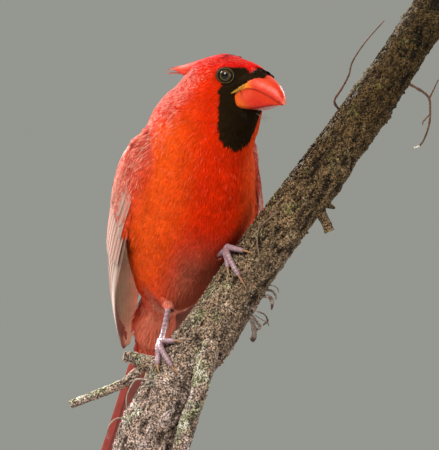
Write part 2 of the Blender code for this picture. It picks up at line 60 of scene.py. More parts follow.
MM = 0.001
ROOT = "root"
BAKE_MAP = "OFBake"
BARB_MAP = "Barbs"
TUFT_PATCH = 0.003  # a coat feather's length on the bake map
TURN = 2 * math.pi
Array = np.ndarray
Feed = bpy.types.NodeSocket | float | Sequence[float]


class Slot(Enum):
    """The record's material slots."""

    PLUMAGE = "plumage"
    FLIGHT = "flight_feathers"
    BILL = "bill_horn"
    EYE = "eye"
    LEG = "leg_scales"
    BARK = "bark"
    WOOD = "stand_wood"
    STEEL = "stand_steel"


# --- curves and noise


def smooth(table: Sequence, at: Array) -> Array:
    """Reads rows of a table at fractional row numbers.

    The curve is Catmull-Rom: between two rows it is the cubic whose slope at each row is half the
    difference of that row's neighbours. A table of single numbers gives single numbers.

    Args:
        table: Rows of numbers.
        at: Row numbers, fractions included.

    Returns:
        One row for each number asked for.
    """
    rows = np.asarray(table, float)
    if rows.ndim == 1:
        return smooth(rows[:, None], at)[:, 0]
    at = np.atleast_1d(np.asarray(at, float))
    first = np.clip(np.floor(at).astype(int), 0, len(rows) - 2)
    padded = np.vstack([2 * rows[0] - rows[1], rows, 2 * rows[-1] - rows[-2]])
    before, start, end, after = (padded[first + k] for k in range(4))
    return cubic((at - first)[:, None], start, (end - before) / 2, end, (after - start) / 2)


def cubic(t: Array, start: Array, leave: Array, end: Array, arrive: Array) -> Array:
    """Hermite's cubic from start to end as t runs from 0 to 1, with its slopes at both.

    Args:
        t: Shares of the way.
        start: Where it starts.
        leave: Its slope there.
        end: Where it ends.
        arrive: Its slope there.

    Returns:
        Its values at t.
    """
    return (
        (2 * t**3 - 3 * t**2 + 1) * start + (t**3 - 2 * t**2 + t) * leave
        + (3 * t**2 - 2 * t**3) * end + (t**3 - t**2) * arrive)


def along(pairs: Sequence, at: Array) -> Array:
    """Reads a value given by (position, value) pairs on a smooth curve through them.

    Args:
        pairs: Pairs in order of position.
        at: Positions.

    Returns:
        The value at each position.
    """
    pairs = np.asarray(pairs, float)
    shape = np.shape(at)
    rows = np.interp(np.ravel(at), pairs[:, 0], np.arange(len(pairs)))
    return smooth(pairs[:, 1], rows).reshape(shape)


def unit(vectors: Array) -> Array:
    """Vectors scaled to length one."""
    return vectors / np.maximum(np.linalg.norm(vectors, axis=-1, keepdims=True), 1e-12)


def ramp(low: float, high: float, value: Array) -> Array:
    """Rises smoothly from 0 at low to 1 at high, as 3t^2 - 2t^3; low may be the larger."""
    t = np.clip((np.asarray(value, float) - low) / (high - low), 0.0, 1.0)
    return t * t * (3 - 2 * t)


def mix(first: Array, second: Array, share: Array) -> Array:
    """Blends two colours, or rows of colours, by a share for each row."""
    return np.asarray(first) + (np.asarray(second) - np.asarray(first)) * np.asarray(share)[..., None]


def layered(base: Array, *layers: tuple) -> Array:
    """Blends colours over a base one after another, from (colour, share) pairs.

    Args:
        base: The colour beneath.
        *layers: (colour, share) pairs, the lowest first.

    Returns:
        The blended colours.
    """
    for colour, share in layers:
        base = mix(base, colour, share)
    return base


def bell(*terms: tuple) -> Array:
    """exp(-d^2), where d^2 sums ((value - centre) / width)^2 over (value, centre, width) terms."""
    return np.exp(-sum(((value - centre) / width) ** 2 for value, centre, width in terms))


def power(value: Array, exponent: float) -> Array:
    """A number's size raised to a power, with the number's sign."""
    return np.sign(value) * np.abs(value) ** exponent


def dot(first: Array, second: Array) -> Array:
    """Scalar products of rows."""
    return np.sum(first * second, axis=-1)


def across_way(vectors: Array, way: Array) -> Array:
    """What is left of vectors across a direction of length one, scaled to length one."""
    return unit(vectors - way * dot(vectors, way)[..., None])


def circle(sides: int) -> Array:
    """Angles spread evenly round a ring."""
    return np.linspace(0, TURN, sides, endpoint=False)


def around(angle: Array, first: Array, second: Array) -> Array:
    """Directions at angles from a first direction toward a second, by the cosine and the sine."""
    return np.cos(angle)[..., None] * first + np.sin(angle)[..., None] * second


def pairs_of(first: Array, second: Array) -> tuple[Array, Array]:
    """Every pair of two lists of numbers as two flat arrays, the second running fastest."""
    first, second = np.meshgrid(first, second, indexing="ij")
    return first.ravel(), second.ravel()


def distances(path: Array) -> Array:
    """Distance along a path to each of its points."""
    return np.concatenate([[0], np.cumsum(np.linalg.norm(np.diff(path, axis=0), axis=1))])


def nearest(points: Array, others: Array) -> Array:
    """Which of the other points is nearest to each point, worked out a few thousand at a time."""
    parts = np.array_split(points, len(points) // 5000 + 1)
    return np.concatenate([((part[:, None] - others[None]) ** 2).sum(2).argmin(1) for part in parts])


def lattice_noise(points: Array, seed: int) -> Array:
    """Smooth noise between -1 and 1.

    Each whole-numbered lattice point has a hashed value, and a point reads the eight round it, weighted
    by 3t^2 - 2t^3 along each axis.

    Args:
        points: Places, in lattice cells.
        seed: Chooses the noise.

    Returns:
        One value for each point.
    """
    cell = np.floor(points).astype(np.int64)
    t = points - cell
    t = t * t * (3 - 2 * t)
    total = np.zeros(len(points))
    for corner in product((0, 1), repeat=3):
        key = cell + np.array(corner)
        mixed = (key[:, 0] * 73856093) ^ (key[:, 1] * 19349663) ^ (key[:, 2] * 83492791) ^ (seed * 40503)
        mixed = ((mixed ^ (mixed >> 13)) * 1274126177) & 0xFFFFFFFF
        value = ((mixed ^ (mixed >> 16)) & 0xFFFF) / 32767.5 - 1.0
        total += value * np.prod(np.where(corner, t, 1 - t), axis=1)
    return total


def cloud(points: Array, size: float | Array, seed: int, octaves: int = 3) -> Array:
    """Sums octaves of lattice noise, each half the size and half the height of the one before.

    Args:
        points: Places in millimetres.
        size: Size of the largest cell, one number or one for each axis.
        seed: Chooses the noise.
        octaves: How many are summed.

    Returns:
        One value for each point, mostly between -1 and 1.
    """
    scaled = np.asarray(points, float) / size
    layers = [lattice_noise(scaled * 2.0**k, seed + 17 * k) / 2.0**k for k in range(octaves)]
    return np.sum(layers, axis=0) / 1.2


def stirred(points: Array, size: float, seed: int) -> Array:
    """A cloud for each axis, as one small vector for each point."""
    return np.stack([cloud(points, size, seed + k, 2) for k in range(3)], 1)


# --- meshes


@dataclass
class Shape:
    """Points in millimetres with their faces, colours and places on maps.

    Attributes:
        points: One row for each point.
        faces: Arrays of point numbers, four or three to a face.
        tint: Linear colour of each point.
        maps: For each map's name, each point's place on it.
    """

    points: Array
    faces: list[Array]
    tint: Array | None = None
    maps: dict[str, Array] = field(default_factory=dict)

    def count(self) -> int:
        """How many triangles the faces make."""
        return sum(len(f) * (f.shape[1] - 2) for f in self.faces)

    def outward(self) -> "Shape":
        """Turns the faces of a closed shape outward, which its signed volume tells."""
        total = 0.0
        for f in self.faces:
            p = self.points[f]
            for k in range(1, f.shape[1] - 1):
                total += np.einsum("ij,ij->", p[:, 0], np.cross(p[:, k], p[:, k + 1]))
        if total < 0:
            self.faces = [f[:, ::-1] for f in self.faces]
        return self


def joined(shapes: Sequence[Shape]) -> Shape:
    """Several shapes as one. All have colours and the same maps, or none has.

    Args:
        shapes: The shapes, in order.

    Returns:
        One shape with all their points and faces.
    """
    starts = np.cumsum([0] + [len(s.points) for s in shapes[:-1]])
    faces = [f + start for s, start in zip(shapes, starts) for f in s.faces]
    sizes = [n for n in (3, 4) if any(f.shape[1] == n for f in faces)]
    by_size = [np.vstack([f for f in faces if f.shape[1] == n]) for n in sizes]
    tint = None if shapes[0].tint is None else np.vstack([s.tint for s in shapes])
    maps = {key: np.vstack([s.maps[key] for s in shapes]) for key in shapes[0].maps}
    return Shape(np.vstack([s.points for s in shapes]), by_size, tint, maps)


def grid_faces(rows: int, columns: int, closed: bool = False) -> Array:
    """Quads between the rows and columns of a grid; closed joins the last column to the first.

    Args:
        rows: Rows of points.
        columns: Points in a row.
        closed: Whether the last column joins the first.

    Returns:
        Four point indices for each face.
    """
    index = np.arange(rows * columns).reshape(rows, columns)
    left, right = (index, np.roll(index, -1, axis=1)) if closed else (index[:, :-1], index[:, 1:])
    return np.stack([left[:-1], left[1:], right[1:], right[:-1]], -1).reshape(-1, 4)


def capped(rings: Array) -> Array:
    """Rings of points, colours or map places as rows, and the means of the first and the last ring."""
    return np.vstack([rings.reshape(-1, rings.shape[-1]), rings[0].mean(0), rings[-1].mean(0)])


def loft(rings: Array, tint: Array | None = None, places: Array | None = None, key: str = BARB_MAP) -> Shape:
    """A closed shape through rings of points, with a fan over each end.

    Args:
        rings: Points as (ring, place round it, coordinate).
        tint: Colours as (ring, place, channel), or one that is broadcast to that.
        places: Places on a map as (ring, place, 2).
        key: That map's name.

    Returns:
        The shape, faces outward.
    """
    count, sides = rings.shape[:2]
    turn = np.arange(sides)
    after = np.roll(turn, -1)
    first = np.stack([turn, after, np.full(sides, count * sides)], 1)
    final = np.stack([after, turn, np.full(sides, count * sides + 1)], 1)
    final[:, :2] += (count - 1) * sides
    colours = None if tint is None else capped(np.broadcast_to(np.asarray(tint, float), rings.shape))
    maps = {} if places is None else {key: capped(places)}
    return Shape(capped(rings), [grid_faces(count, sides, closed=True), first, final], colours,
                 maps).outward()


def ring_frames(path: Array, start: Array) -> tuple[Array, Array]:
    """Two directions across a path for its rings, turned as little as the path allows.

    Args:
        path: Points of the path.
        start: A direction across the first point.

    Returns:
        Two arrays of directions, one row for each point.
    """
    ahead = unit(np.gradient(path, axis=0))
    across = np.empty_like(path)
    held = start
    for k, way in enumerate(ahead):
        held = unit(held - way * (held @ way))
        across[k] = held
    return across, np.cross(ahead, across)


def tube(path: Array, radii: Array, start: Array, sides: int, swell: Array | float = 1.0) -> Array:
    """Rings of points round a path.

    Args:
        path: Points of the path.
        radii: A radius for each point.
        start: The direction that a ring's first point lies in.
        sides: Points in a ring.
        swell: A factor for the radius, one number or (ring, place).

    Returns:
        Points as (ring, place, coordinate).
    """
    across, other = ring_frames(path, start)
    reach = (np.asarray(radii)[:, None] * swell)[..., None]
    return path[:, None] + reach * around(circle(sides), across[:, None], other[:, None])


def make_object(name: str, shape: Shape, finish: "Finish") -> bpy.types.Object:
    """Puts a shape into a mesh object at the origin.

    Args:
        name: The piece's name.
        shape: Its points, faces, colours and maps.
        finish: Its material.

    Returns:
        The object, linked to the scene.
    """
    mesh = bpy.data.meshes.new(name)
    corners = np.concatenate([f.ravel() for f in shape.faces]).astype(np.int32)
    sizes = np.concatenate([np.full(len(f), f.shape[1]) for f in shape.faces])
    starts = np.concatenate([[0], np.cumsum(sizes)[:-1]]).astype(np.int32)
    mesh.vertices.add(len(shape.points))
    mesh.vertices.foreach_set("co", (shape.points * MM).astype(np.float32).ravel())
    mesh.loops.add(len(corners))
    mesh.loops.foreach_set("vertex_index", corners)
    mesh.polygons.add(len(starts))
    mesh.polygons.foreach_set("loop_start", starts)
    mesh.update(calc_edges=True)
    mesh.shade_smooth()
    if shape.tint is not None:
        colours = np.column_stack([np.clip(shape.tint, 0, 1), np.ones(len(shape.points))])
        mesh.color_attributes.new("Tint", "FLOAT_COLOR", "POINT").data.foreach_set(
            "color", colours.astype(np.float32).ravel())
    for key, places in shape.maps.items():
        layer = mesh.uv_layers.new(name=key)
        layer.data.foreach_set("uv", unwrapped(places, shape.faces).astype(np.float32).ravel())
    mesh.materials.append(finish.material())
    piece = bpy.data.objects.new(name, mesh)
    bpy.context.scene.collection.objects.link(piece)
    return piece


def unwrapped(places: Array, faces: Sequence[Array]) -> Array:
    """Map places of every face corner; a face that crosses the map's right edge goes on past it.

    Args:
        places: A map place for each point.
        faces: Point indices of each face.

    Returns:
        A map place for each face corner.
    """
    corners = []
    for f in faces:
        spot = places[f].copy()
        across = spot[..., 0]
        wide = np.ptp(across, axis=1) > 0.5
        across[wide] += across[wide] < 0.5
        corners.append(spot.reshape(-1, 2))
    return np.vstack(corners)


def show(name: str, shape: Shape, finish: "Finish", slot: Slot,
         nodes: Iterable[str] = ()) -> bpy.types.Object:
    """Makes a piece of the object, rides it on the body and hides what it stands for.

    Args:
        name: The piece's name.
        shape: Its mesh.
        finish: Its material.
        slot: The record's slot; not used.
        nodes: The solids that it replaces.

    Returns:
        The piece.
    """
    piece = make_object(name, shape, finish)
    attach(piece, ROOT)
    if nodes:
        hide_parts(*nodes)
    LOG.info("%s: %d triangles", name, shape.count())
    return piece


# --- finishes


class Graph:
    """A material's nodes, added one call at a time."""

    def __init__(self, name: str) -> None:
        """Starts a material of this name with its Principled shader."""
        self.made = bpy.data.materials.new(name)
        self.made.use_nodes = True
        self.tree = self.made.node_tree
        self.shader = self.tree.nodes["Principled BSDF"]

    def add(self, kind: str, inputs: dict, **settings) -> bpy.types.Node:
        """Adds a node.

        Args:
            kind: The node's type, without its ShaderNode prefix.
            inputs: Values or sockets for its inputs, by name or number.
            **settings: Its own properties.

        Returns:
            The node.
        """
        node = self.tree.nodes.new("ShaderNode" + kind)
        for key, value in settings.items():
            setattr(node, key, value)
        for key, value in inputs.items():
            self.feed(node.inputs[key], value)
        return node

    def feed(self, socket: bpy.types.NodeSocket, value: Feed) -> None:
        """Links a socket to another, or sets its value.

        Args:
            socket: The input.
            value: A socket to link to it, or its value.
        """
        if isinstance(value, bpy.types.NodeSocket):
            self.tree.links.new(value, socket)
        else:
            socket.default_value = value

    def set(self, **values) -> "Graph":
        """Sets or links the shader's own sockets, whose names have underscores for spaces.

        Args:
            **values: Values or sockets by the shader's socket names.

        Returns:
            This graph.
        """
        for key, value in values.items():
            self.feed(self.shader.inputs[key.replace("_", " ")], value)
        return self

    def place(self, scale: float | tuple) -> bpy.types.NodeSocket:
        """Object coordinates in millimetres, times a scale.

        Args:
            scale: One factor, or one for each axis, per millimetre.

        Returns:
            The scaled coordinates.
        """
        sizes = np.broadcast_to(np.asarray(scale, float) / MM, 3)
        coordinates = self.add("TexCoord", {}).outputs["Object"]
        return self.add("Mapping", {"Vector": coordinates, "Scale": tuple(sizes)}).outputs[0]

    def noise(self, scale: float | tuple, detail: float = 3.0, rough: float = 0.55) -> bpy.types.NodeSocket:
        """Noise whose cells are 1/scale millimetres."""
        settings = {"Vector": self.place(scale), "Scale": 1.0, "Detail": detail, "Roughness": rough}
        return self.add("TexNoise", settings).outputs["Fac"]

    def math(self, operation: str, first: Feed, second: Feed = 0.0,
             third: Feed = 0.0) -> bpy.types.NodeSocket:
        """One arithmetic step."""
        return self.add("Math", {0: first, 1: second, 2: third}, operation=operation).outputs[0]

    def steps(self, value: Feed, *stops: tuple) -> bpy.types.NodeSocket:
        """A colour ramp over a value, from (position, colour or grey) stops.

        Args:
            value: What the ramp reads.
            *stops: (position, colour or grey) pairs.

        Returns:
            The ramp's colour.
        """
        node = self.add("ValToRGB", {"Fac": value})
        bar = node.color_ramp.elements
        while len(bar) < len(stops):
            bar.new(0.5)
        for element, (position, colour) in zip(bar, stops):
            element.position = position
            element.color = [*np.broadcast_to(colour, 3).tolist(), 1.0]
        return node.outputs["Color"]

    def times(self, colour: Feed, value: Feed, *stops: tuple) -> bpy.types.NodeSocket:
        """A colour multiplied by a colour ramp over a value.

        Args:
            colour: A socket or a colour.
            value: What the ramp reads.
            *stops: The ramp's stops.

        Returns:
            The product.
        """
        node = self.add("Mix", {}, data_type="RGBA", blend_type="MULTIPLY")
        for socket, given in zip((node.inputs[0], node.inputs[6], node.inputs[7]),
                                 (1.0, colour, self.steps(value, *stops))):
            self.feed(socket, given)
        return node.outputs[2]

    def mottled(self, *layers: tuple) -> bpy.types.NodeSocket:
        """The colour that the mesh carries, multiplied by the colour ramp of each (value, *stops) layer.

        Args:
            *layers: (value, *stops) for each ramp.

        Returns:
            The mottled colour.
        """
        colour = self.add("Attribute", {}, attribute_name="Tint").outputs["Color"]
        for layer in layers:
            colour = self.times(colour, *layer)
        return colour

    def bump(self, height: Feed, strength: float, depth: float) -> bpy.types.NodeSocket:
        """A bumped normal from a height between 0 and 1, whose full depth is given in millimetres."""
        return self.add("Bump", {"Height": height, "Strength": strength, "Distance": depth * MM}).outputs[0]


MADE: dict[str, bpy.types.Material] = {}


@dataclass(frozen=True)
class Finish:
    """A finish, made into a material once and shared by its pieces."""

    name: str

    def material(self) -> bpy.types.Material:
        """The material of this finish."""
        if self.name not in MADE:
            MADE[self.name] = self.build(Graph(self.name)).made
        return MADE[self.name]

    def build(self, graph: Graph) -> Graph:
        """Fills in the material's nodes."""
        raise NotImplementedError


@dataclass(frozen=True)
class FeatherFinish(Finish):
    """Soft barbs: the carried colour, mottled, with a pale sheen that lights the outline."""

    roughness: float = 0.62
    sheen: float = 0.06
    sheen_colour: tuple = (1.0, 0.50, 0.43)

    def build(self, graph: Graph) -> Graph:
        """Multiplies the carried colour by fine and coarse mottling.

        Args:
            graph: The material's nodes.

        Returns:
            The same graph.
        """
        dark = (0.88, 0.86, 0.86)
        colour = graph.mottled((graph.noise(2.2), (0.3, dark), (0.7, 1.08)),
                               (graph.noise(0.16), (0.35, dark), (0.65, (1.08, 1.06, 1.04))))
        return graph.set(Base_Color=colour, Roughness=self.roughness, Specular_IOR_Level=0.015,
                         Sheen_Weight=self.sheen, Sheen_Roughness=0.22, Sheen_Tint=(*self.sheen_colour, 1.0))


@dataclass(frozen=True)
class SkinFinish(Finish):
    """The skin under the coat, in the coat's own colours, a little darker as painted shade in the hollows of
    a downy bump.
    """

    def build(self, graph: Graph) -> Graph:
        """Darkens the carried colour as painted shade in the hollows of a fine noise that also bumps the
        skin.

        Args:
            graph: The material's nodes.

        Returns:
            The same graph.
        """
        down = graph.noise((1.6, 1.6, 0.9), 4.0)
        colour = graph.mottled((down, (0.3, (0.80, 0.76, 0.76)), (0.75, (1.0, 0.98, 0.98))))
        return graph.set(Base_Color=colour, Roughness=0.8, Normal=graph.bump(down, 0.6, 0.4))


@dataclass(frozen=True)
class VaneFinish(Finish):
    """A flight feather's vane: slanting barbs to both sides of the shaft, on the piece's barb map.

    The map's first number is the distance from the shaft and its second the distance along it, both in
    centimetres.
    """

    spacing: float = 0.42
    slant: float = 1.5

    def build(self, graph: Graph) -> Graph:
        """Runs a sine of distance along plus slanted distance from the shaft, for colour and bump.

        Args:
            graph: The material's nodes.

        Returns:
            The same graph.
        """
        spot = graph.add("SeparateXYZ", {0: graph.add("UVMap", {}, uv_map=BARB_MAP).outputs[0]})
        slanted = graph.math("MULTIPLY", graph.math("ABSOLUTE", spot.outputs[0]), self.slant)
        turns = graph.math("MULTIPLY", graph.math("SUBTRACT", spot.outputs[1], slanted),
                           10 * TURN / self.spacing)
        wobbly = graph.math("ADD", turns, graph.math("MULTIPLY", graph.noise(0.5), 9.0))
        wave = graph.math("MULTIPLY_ADD", graph.math("SINE", wobbly), 0.5, 0.5)
        colour = graph.mottled((wave, (0.1, 0.90), (0.8, 1.05)),
                               (graph.noise(0.25), (0.3, 0.86), (0.7, 1.10)))
        return graph.set(Base_Color=colour, Roughness=0.48, Specular_IOR_Level=0.4, Sheen_Weight=0.25,
                         Sheen_Roughness=0.4, Sheen_Tint=(1.0, 0.85, 0.8, 1.0),
                         Normal=graph.bump(wave, 0.5, 0.08))


@dataclass(frozen=True)
class HornFinish(Finish):
    """Bill horn: smooth and softly glossy, with faint growth lines and small scuffs."""

    def build(self, graph: Graph) -> Graph:
        """Mottles the carried colour and roughens it where a fine noise is high.

        Args:
            graph: The material's nodes.

        Returns:
            The same graph.
        """
        colour = graph.mottled((graph.noise(0.7, 4.0), (0.3, (0.88, 0.84, 0.84)), (0.7, (1.08, 1.10, 1.12))))
        rough = graph.math("MULTIPLY_ADD", graph.noise(2.5, 4.0), 0.22, 0.26)
        return graph.set(Base_Color=colour, Roughness=rough, Specular_IOR_Level=0.26, Subsurface_Weight=0.12,
                         Subsurface_Radius=(1.0, 0.3, 0.2), Subsurface_Scale=0.0012,
                         Normal=graph.bump(graph.noise((0.5, 0.5, 3.2), 2.0), 0.35, 0.12))


@dataclass(frozen=True)
class WetFinish(Finish):
    """The eyeball under its clear cornea."""

    def build(self, graph: Graph) -> Graph:
        """Streaks the carried colour faintly under a clear coat.

        Args:
            graph: The material's nodes.

        Returns:
            The same graph.
        """
        colour = graph.mottled((graph.noise(3.0, 4.0), (0.3, 0.75), (0.7, (1.3, 1.25, 1.2))))
        return graph.set(Base_Color=colour, Roughness=0.12, Specular_IOR_Level=0.0, Coat_Weight=0.6,
                         Coat_Roughness=0.02)


@dataclass(frozen=True)
class LeatherFinish(Finish):
    """Bare skin and scutes: satin, pitted, darker in the creases."""

    grain: float = 3.0
    roughness: float = 0.42
    gloss: float = 0.5

    def build(self, graph: Graph) -> Graph:
        """Mottles the carried colour and raises fine pebbles.

        Args:
            graph: The material's nodes.

        Returns:
            The same graph.
        """
        cells = graph.add("TexVoronoi", {"Vector": graph.place(self.grain), "Scale": 1.0})
        colour = graph.mottled((graph.noise(1.2, 4.0), (0.3, (0.72, 0.70, 0.72)), (0.7, (1.18, 1.16, 1.18))))
        return graph.set(Base_Color=colour, Roughness=self.roughness, Specular_IOR_Level=self.gloss,
                         Normal=graph.bump(cells.outputs["Distance"], 0.45, 0.10))


@dataclass(frozen=True)
class BarkFinish(Finish):
    """Weathered bark or lichen: matt, flecked light and dark, finely rough."""

    contrast: float = 0.95
    grain: float = 1.5

    def build(self, graph: Graph) -> Graph:
        """Flecks the carried colour at two sizes and bumps it with a fine noise.

        Args:
            graph: The material's nodes.

        Returns:
            The same graph.
        """
        colour = graph.mottled(
            (graph.noise(self.grain, 5.0, 0.7), (0.42, 1 - self.contrast), (0.50, 0.72),
             (0.60, 1 + self.contrast)),
            (graph.noise(0.22, 3.0), (0.35, (0.80, 0.78, 0.74)), (0.65, (1.12, 1.12, 1.10))))
        return graph.set(Base_Color=colour, Roughness=0.92, Specular_IOR_Level=0.2,
                         Normal=graph.bump(graph.noise(2.4, 5.0, 0.7), 0.8, 0.35))


@dataclass(frozen=True)
class TurnedWoodFinish(Finish):
    """Dark turned hardwood: long grain with rings, under a satin varnish."""

    def build(self, graph: Graph) -> Graph:
        """Draws rings of a stretched distance, warped by noise, and fine pores along the grain.

        Args:
            graph: The material's nodes.

        Returns:
            The same graph.
        """
        inputs = {"Vector": graph.place((0.03, 0.22, 0.22)), "Scale": 1.0, "Distortion": 3.2, "Detail": 3.0,
                  "Detail Scale": 0.8}
        rings = graph.add("TexWave", inputs, wave_type="RINGS", rings_direction="X").outputs["Fac"]
        pores = graph.noise((0.12, 3.0, 3.0), 3.0)
        base = graph.steps(rings, (0.1, (0.045, 0.020, 0.010)), (0.6, (0.115, 0.055, 0.026)),
                           (1.0, (0.16, 0.08, 0.04)))
        colour = graph.times(base, pores, (0.35, (0.62, 0.60, 0.58)), (0.6, 1.05))
        return graph.set(Base_Color=colour, Roughness=0.34, Coat_Weight=0.35, Coat_Roughness=0.16,
                         Normal=graph.bump(pores, 0.2, 0.05))


@dataclass(frozen=True)
class SteelFinish(Finish):
    """Steel rod, brushed round its axis."""

    def build(self, graph: Graph) -> Graph:
        """Varies the roughness in fine rings round the rod.

        Args:
            graph: The material's nodes.

        Returns:
            The same graph.
        """
        brush = graph.noise((0.4, 0.4, 9.0), 3.0)
        return graph.set(Base_Color=(0.56, 0.56, 0.57, 1.0), Metallic=1.0,
                         Roughness=graph.math("MULTIPLY_ADD", brush, 0.25, 0.18),
                         Normal=graph.bump(brush, 0.15, 0.02))


@dataclass(frozen=True)
class FloorFinish(Finish):
    """Plain pale floor."""

    colour: tuple = (0.24, 0.24, 0.23)

    def build(self, graph: Graph) -> Graph:
        """A flat matt colour."""
        return graph.set(Base_Color=(*self.colour, 1.0), Roughness=0.9, Specular_IOR_Level=0.1)


FEATHERS = FeatherFinish("soft feathers")
SKIN = SkinFinish("downy skin")
VANES = VaneFinish("feather vanes")
HORN = HornFinish("bill horn")
WET = WetFinish("wet eye")
LIDS = LeatherFinish("eyelid", 5.0, 0.75, 0.12)
SCUTES = LeatherFinish("leg scutes")
CLAWS = HornFinish("claw horn")
BARK = BarkFinish("bark")
LICHEN = BarkFinish("lichen", 0.40, 1.6)
TURNED_WOOD = TurnedWoodFinish("turned wood")
STEEL = SteelFinish("brushed rod")
FLOOR = FloorFinish("pale floor")


# --- the bird's own axes


class Axes:
    """Right-angled axes of a part of the bird."""

    def rows(self) -> Array:
        """The three directions as rows."""
        raise NotImplementedError

    def point(self, places: Array) -> Array:
        """Points of the frame from places in these axes."""
        return np.asarray(self.origin) + np.asarray(places) @ self.rows()

    def place(self, points: Array) -> Array:
        """Places in these axes from points of the frame."""
        return (points - np.asarray(self.origin)) @ self.rows().T


@dataclass(frozen=True)
class TrunkAxes(Axes):
    """The trunk's axes: across to the left, lengthwise toward the tail, above the back."""

    origin: tuple = (0.0, 8.0, 127.0)
    pitch: float = 47.0

    def rows(self) -> Array:
        """The three directions as rows."""
        p = math.radians(self.pitch)
        return np.array([[1.0, 0.0, 0.0], [0.0, math.cos(p), -math.sin(p)], [0.0, math.sin(p), math.cos(p)]])


@dataclass(frozen=True)
class HeadAxes(Axes):
    """The head's axes: forward along the bill, left, and up, from midway between the eyes."""

    origin: tuple = (7.5, -30.5, 177.7)
    yaw: float = 22.4
    drop: float = 7.7
    roll: float = -4.0

    def rows(self) -> Array:
        """The three directions as rows."""
        yaw, drop, roll = (math.radians(a) for a in (self.yaw, self.drop, self.roll))
        forward = np.array([math.sin(yaw) * math.cos(drop), -math.cos(yaw) * math.cos(drop), -math.sin(drop)])
        level = np.array([math.cos(yaw), math.sin(yaw), 0.0])
        upright = np.cross(forward, level)
        left = level * math.cos(roll) + upright * math.sin(roll)
        return np.array([forward, left, upright * math.cos(roll) - level * math.sin(roll)])


TRUNK = TrunkAxes()
HEAD = HeadAxes()


@dataclass(frozen=True)
class Branch:
    """The branch's axis and what stands on its bark.

    Attributes:
        turn: Degrees from the bird's lateral axis to the plane of the branch.
        forward: How far in front of the origin that plane lies.
        gap: How far feathers and feet stay off the bark's middle height.
        axis: (sideways, up, radius) along the branch, in its plane.
    """

    turn: float = 20.0
    forward: float = 15.0
    gap: float = 0.35
    axis: tuple = (
        (-20.6, 24.0, 12.0), (-16.6, 44.0, 11.3), (-10.0, 58.5, 10.6), (-4.6, 69.6, 10.0), (4.8, 81.8, 9.7),
        (14.4, 96.4, 9.5), (24.6, 112.0, 9.0), (33.0, 123.6, 8.8), (43.2, 136.8, 9.0), (54.0, 151.8, 8.5),
        (63.8, 165.8, 8.1), (71.8, 177.4, 7.7), (80.2, 190.0, 7.6), (91.6, 206.4, 8.2))

    def rows(self) -> Array:
        """Sideways, up, and out of the branch's front, as rows."""
        turn = math.radians(self.turn)
        return np.array([[math.cos(turn), -math.sin(turn), 0], [0, 0, 1],
                         [-math.sin(turn), -math.cos(turn), 0]])

    def point(self, places: Array) -> Array:
        """Points of the frame from (sideways, up, forward of the branch's axis)."""
        return (np.asarray(places, float) + [0, 0, self.forward]) @ self.rows()

    def line(self, at: Array) -> tuple[Array, Array]:
        """Points and radii of the axis at fractional station numbers."""
        row = smooth(self.axis, at)
        return self.point(np.column_stack([row[:, :2], np.zeros(len(row))])), row[:, 2]

    def clear(self, points: Array) -> Array:
        """Moves points that the branch would fill straight out to its bark.

        Args:
            points: Points of the frame, in millimetres.

        Returns:
            The points, none of them inside the bark.
        """
        axis, radius = self.line(np.linspace(0, len(self.axis) - 1, 120))
        reach = radius * 1.03 + self.gap
        near = points[:, 2] < 150.0
        spot = points[near]
        best = nearest(spot, axis)
        away = spot - axis[best]
        distance = np.linalg.norm(away, axis=1, keepdims=True)
        limit = reach[best][:, None]
        moved = points.copy()
        moved[near] = np.where(distance < limit, axis[best] + away / distance * limit, spot)
        return moved

    def on_bark(self, place: float, angle: Array, height: Array, shift: Array) -> tuple[Array, Array]:
        """Points above the bark, with their outward directions.

        Args:
            place: A station number along the axis.
            angle: Degrees round the axis, from its upper left side over its front.
            height: Millimetres above the bark.
            shift: Millimetres along the axis from the place.

        Returns:
            The points, and the directions straight out of the bark there.
        """
        fine = np.arange(0, len(self.axis) - 0.99, 0.01)
        line, radii = self.line(fine)
        steps = distances(line)
        run = np.interp(place, fine, steps) + np.asarray(shift)
        point, ahead = (
            np.stack([np.interp(run + more, steps, line[:, k]) for k in range(3)], -1) for more in (0, 1))
        front = self.rows()[2]
        upper_left = unit(np.cross(ahead - point, front))
        upper_left *= np.where(upper_left[:, 2:] < 0, -1, 1)
        out = around(np.radians(angle), upper_left, front)
        radius = np.interp(run, steps, radii) * 1.015 + self.gap
        return point + (radius + height)[:, None] * out, out


BRANCH = Branch()


# --- forms that feathers grow on


@dataclass(frozen=True)
class Patch:
    """What each feather knows of the surface round its root.

    Attributes:
        origin: The root.
        normal: Straight out of the surface.
        ahead: The way the feather lies.
        side: Across it.
        bend: How the surface falls away: ahead by ahead, ahead by side, side by side.
        spot: The root's place on the surface's own unwrap.
    """

    origin: Array
    normal: Array
    ahead: Array
    side: Array
    bend: Array
    spot: Array

    def at(self, feather: Array, ahead: Array, side: Array, height: Array) -> Array:
        """Points near the roots, on the surface's second-order curve.

        A point is the root plus its steps ahead and aside, less half of the bend times their squares
        along the normal, plus its height.

        Args:
            feather: Index of each point's feather.
            ahead: Distance forward of its root.
            side: Distance to its side.
            height: Distance off the surface.

        Returns:
            The points.
        """
        bend = self.bend[feather]
        drop = (bend[:, 0] * ahead**2 + 2 * bend[:, 1] * ahead * side + bend[:, 2] * side**2) / 2
        return (
            self.origin[feather] + self.ahead[feather] * ahead[:, None] + self.side[feather] * side[:, None]
            + self.normal[feather] * (height - drop)[:, None])


